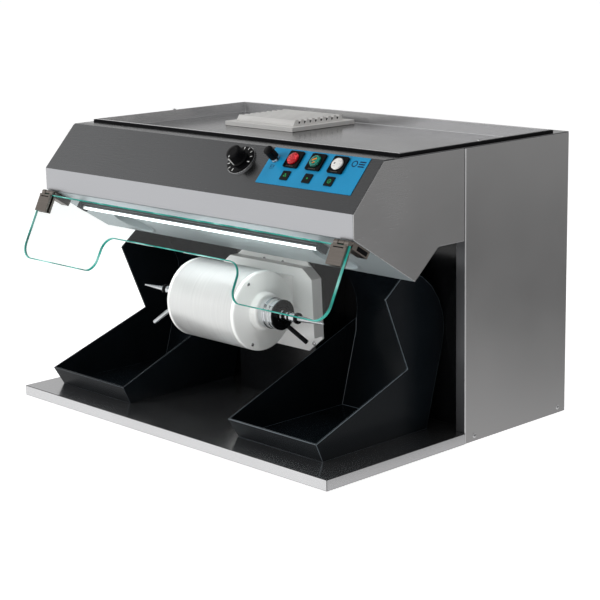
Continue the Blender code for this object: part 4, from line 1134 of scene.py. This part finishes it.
def make_vent_cover():
    """Louvres that rise from the front and drop at the back; black strips deep in each groove stand for its
    shade, and the louvres' tops take a darker grey, both painted shade.
    """
    low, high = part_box("vent_cover")
    pitch = (high.y - low.y) / LOUVRES
    plinth = low.z + 2.8 * MM
    outline = [(low.y, low.z), (low.y, plinth)]
    gaps = []
    for louvre in range(LOUVRES):
        start = low.y + louvre * pitch
        if louvre:
            outline.append((start + 0.05 * pitch, plinth))
        outline += [(start + 0.42 * pitch, high.z), (start + 0.86 * pitch, high.z - 0.3 * MM)]
        if louvre < LOUVRES - 1:
            outline.append((start + 0.93 * pitch, plinth))
            gaps.append(start)
    outline += [(high.y, plinth), (high.y, low.z)]
    place = frame_at((0, 0, 0), BACK, UP)
    cover = slab("vent_louvres", outline, low.x, high.x, "vent", place, 0.3 * MM)
    # Faces that look up take the darker grey: painted shade on the louvre tops
    cover.data.materials.append(LOOKS["vent_top"])
    for face in cover.data.polygons:
        if face.normal.y > 0.8:
            face.material_index = 1
    wear(cover, "vent_door", "vent_plastic", "vent_cover")

    # Black strips deep in each groove: painted shade where the groove falls dark
    depth = 4.0 * MM
    rise = depth * 0.37 * pitch / (high.z - plinth)
    inset = 0.2 * MM
    strips = []
    for start in gaps:
        floor_line = [(start + 0.925 * pitch, plinth - 0.2 * MM), (start + 1.06 * pitch, plinth - 0.2 * MM),
                      (start + 1.06 * pitch + rise, plinth + depth), (start + 0.90 * pitch, plinth + depth)]
        strips.append(slab("strip", floor_line, low.x + inset, high.x - inset, "black", place, 0))
    wear(joined("vent_groove_shade", strips), "vent_door", "black_plastic")

    lip = 1.6 * MM
    outline = rectangle((low.x - lip, high.x + lip), (low.y - lip, high.y + lip))
    skirt = slab("vent_skirt", outline, low.z - 0.2 * MM, low.z + 1.0 * MM, "vent", None, 0.4 * MM)
    wear(skirt, "frame", "vent_plastic")


# ---------------------------------------------------------------- cabinet details
SEAM_X = -254 * MM
SEAM_RISE = (30 * MM, 335 * MM)
PIN_LENGTH = 16 * MM


def make_cabinet_details():
    """The seam down the dark wall behind the trays, and the three pins of the mains inlet."""
    place = frame_at((SEAM_X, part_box("bulkhead")[1].y - SHEET, 0), RIGHT, UP)
    outline = rectangle((-0.5 * MM, 0.5 * MM), SEAM_RISE)
    seam = slab("bulkhead_seam", outline, -0.1 * MM, 0.5 * MM, "side", place, 0.15 * MM)
    wear(seam, "frame", "black_steel")

    inlet_low, inlet_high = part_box("mains_inlet")
    centre = (inlet_low + inlet_high) / 2
    pins = []
    for x, z in in_mm((0, 5.5), (-5.5, -4.5), (5.5, -4.5)):
        socket = frame_at((centre.x + x, inlet_high.y - 21.7 * MM, centre.z + z), RIGHT, DOWN)
        outline = rectangle((-1 * MM, 1 * MM), (-2 * MM, 2 * MM))
        pins.append(slab("pin", outline, 0, PIN_LENGTH, "chrome", socket, 0.3 * MM))
    wear(joined("inlet_pins", pins), "frame", "chrome")


def paint_folds():
    """The fascia is a darker copy of its front lip's steel, painted shade, and the lid's walls are a lighter
    copy of the lid's steel, painted highlight.

    The side panels' front flanges are a darker copy of their steel and their inner faces are black, both
    painted shade.
    """
    # The lid's walls: lighter steel, a painted highlight
    paint_faces("lid_tray", "lid_wall", lambda face: abs(face.normal.z) < 0.3)
    # The fascia above the lip keeps its darker steel, painted shade
    paint_faces("fascia", "lip", lambda face: face.center.z < LIP_TOP.z and abs(face.normal.y) > 0.9)
    for name, side in SIDES.items():
        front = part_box(f"side_panel_{name}")[0].y
        # Inner faces black: painted shade
        paint_faces(f"side_panel_{name}", "black_steel", lambda face: face.normal.x * side < -0.9)
        # Front flanges a darker copy of the steel: painted shade
        paint_faces(f"side_panel_{name}", "flange",
                    lambda face: face.normal.y < -0.9 and abs(face.center.y - front) < 0.5 * MM)


# ---------------------------------------------------------------- studio
FLOOR_SIZE = 80.0

# The room's tones by height of the direction, from straight down to straight up, away from the bright side
# and towards it.
BRIGHT_SIDE = (-0.725, -0.689, 0)
DIM_TONES = ((-1.0, 0.5), (-0.33, 0.60), (-0.22, 0.14), (-0.12, 0.33), (0.05, 0.45), (0.35, 0.3), (0.7, 0.15))
BRIGHT_TONES = ((-1.0, 0.8), (-0.3, 0.95), (-0.05, 1.0), (0.16, 1.0), (0.36, 0.45), (0.44, 0.45), (0.55, 1.0),
                (0.68, 0.35), (0.9, 0.15))


def make_floor():
    bm = bmesh.new()
    bmesh.ops.create_grid(bm, x_segments=1, y_segments=1, size=FLOOR_SIZE / 2)
    mesh = bpy.data.meshes.new("studio_floor")
    bm.to_mesh(mesh)
    bm.free()
    made, tree, shader = new_material("floor_paper")
    tint(tree, shader, (0.86, 0.86, 0.86), spread(tree, grain(tree, EVEN, 3.0, 2.0), 0.99, 1.01))
    set_shader(shader, Roughness=0.8, Emission_Color=(1, 1, 1, 1), Emission_Strength=0.75)
    mesh.materials.append(made)
    floor = bpy.data.objects.new("studio_floor", mesh)
    floor.visible_glossy = False
    floor.location.z = cad_box[0].z - 0.2 * MM
    bpy.context.scene.collection.objects.link(floor)


def make_world():
    """A white room to the camera. In reflections it is bright low down at the front left, dark overhead."""
    world = bpy.data.worlds.new("studio")
    bpy.context.scene.world = world
    world.use_nodes = True
    tree = world.node_tree
    direction = add(tree, "TexCoord").outputs["Generated"]
    height = add(tree, "SeparateXYZ", Vector=direction).outputs["Z"]
    rise = spread(tree, height, 0.0, 1.0, -1.0, 1.0)
    level = vector_math(tree, "NORMALIZE", vector_math(tree, "MULTIPLY", direction, (1, 1, 0)))
    bright_side = Vector(BRIGHT_SIDE).normalized()
    towards = vector_math(tree, "DOT_PRODUCT", level, bright_side, "Value")
    share = add(tree, "MapRange", {"interpolation_type": "SMOOTHSTEP"}, Value=towards,
                From_Min=-0.6, From_Max=1.0).outputs["Result"]
    sides = []
    for tones in (DIM_TONES, BRIGHT_TONES):
        ramp = add(tree, "ValToRGB", Fac=rise)
        stops = ramp.color_ramp.elements
        while len(stops) < len(tones):
            stops.new(0.5)
        for stop, (z, tone) in zip(stops, tones):
            stop.position = (z + 1) / 2
            stop.color = (tone, tone, tone, 1)
        sides.append(ramp.outputs["Color"])
    seen = add(tree, "LightPath").outputs["Is Camera Ray"]
    shown = blend(tree, seen, blend(tree, share, *sides), (1, 1, 1))
    tree.links.new(shown, tree.nodes["Background"].inputs["Color"])


def make_light(name, position, target, size, power):
    data = bpy.data.lights.new(name, "AREA")
    data.shape = "RECTANGLE"
    data.size, data.size_y = size
    data.energy = power
    light = bpy.data.objects.new(name, data)
    light.location = position
    light.rotation_mode = "QUATERNION"
    light.rotation_quaternion = (Vector(target) - Vector(position)).to_track_quat("-Z", "Y")
    light.visible_camera = False
    light.visible_glossy = False
    bpy.context.scene.collection.objects.link(light)


def make_studio():
    """Floor, room, two soft lights, and two strips at the lamp: one lights the motor, one the hood above."""
    make_floor()
    make_world()
    make_light("key", (-1.6, -2.6, 1.5), (0, -0.1, 0.2), (1.4, 1.2), 40)
    make_light("top", (0.6, 0.6, 2.6), (0, 0, 0.3), (1.6, 1.6), 22)
    low, high = local_box("lamp_tube", UNDERSIDE)
    lamp = on(UNDERSIDE, (low.x + high.x) / 2, (low.y + high.y) / 2)
    make_light("lamp_down", lamp @ Vector((0, 0, -0.016)), lamp @ Vector((0, 0.02, -0.3)), (0.6, 0.01), 0.5)
    make_light("lamp_spill", lamp @ Vector((0, 0.02, -0.07)), lamp @ Vector((0, 0.03, 0)), (0.6, 0.04), 0.22)
    bpy.context.scene.view_settings.view_transform = "Standard"


CAMERA_PLACE = (2.1296, -1.9907, 0.8477)
CAMERA_AZIMUTH = math.radians(46.4285)
CAMERA_ELEVATION = math.radians(12.6963)
CAMERA_ROLL = math.radians(-1.119)
CAMERA_LENS = 99.54


def make_camera():
    data = bpy.data.cameras.new("camera")
    data.lens = CAMERA_LENS
    data.sensor_width = 36.0
    camera = bpy.data.objects.new("camera", data)
    level = math.cos(CAMERA_ELEVATION)
    x, y = math.sin(CAMERA_AZIMUTH), math.cos(CAMERA_AZIMUTH)
    back = Vector((x * level, -y * level, math.sin(CAMERA_ELEVATION)))
    right = Vector((y, x, 0))
    up = back.cross(right)
    turn = Matrix((right, up, back)).transposed().to_4x4() @ Matrix.Rotation(CAMERA_ROLL, 4, "Z")
    camera.matrix_world = Matrix.Translation(CAMERA_PLACE) @ turn
    bpy.context.scene.collection.objects.link(camera)
    bpy.context.scene.camera = camera


# ---------------------------------------------------------------- build
dress_frame()
paint_folds()
add_screws()
make_motor()
make_spindles()
make_levers()
make_glass()
make_clamp_details()
make_lamp()
make_ports()
make_dial()
make_small_knob()
make_caps()
make_glyphs()
make_vent_cover()
make_cabinet_details()
make_studio()
make_camera()
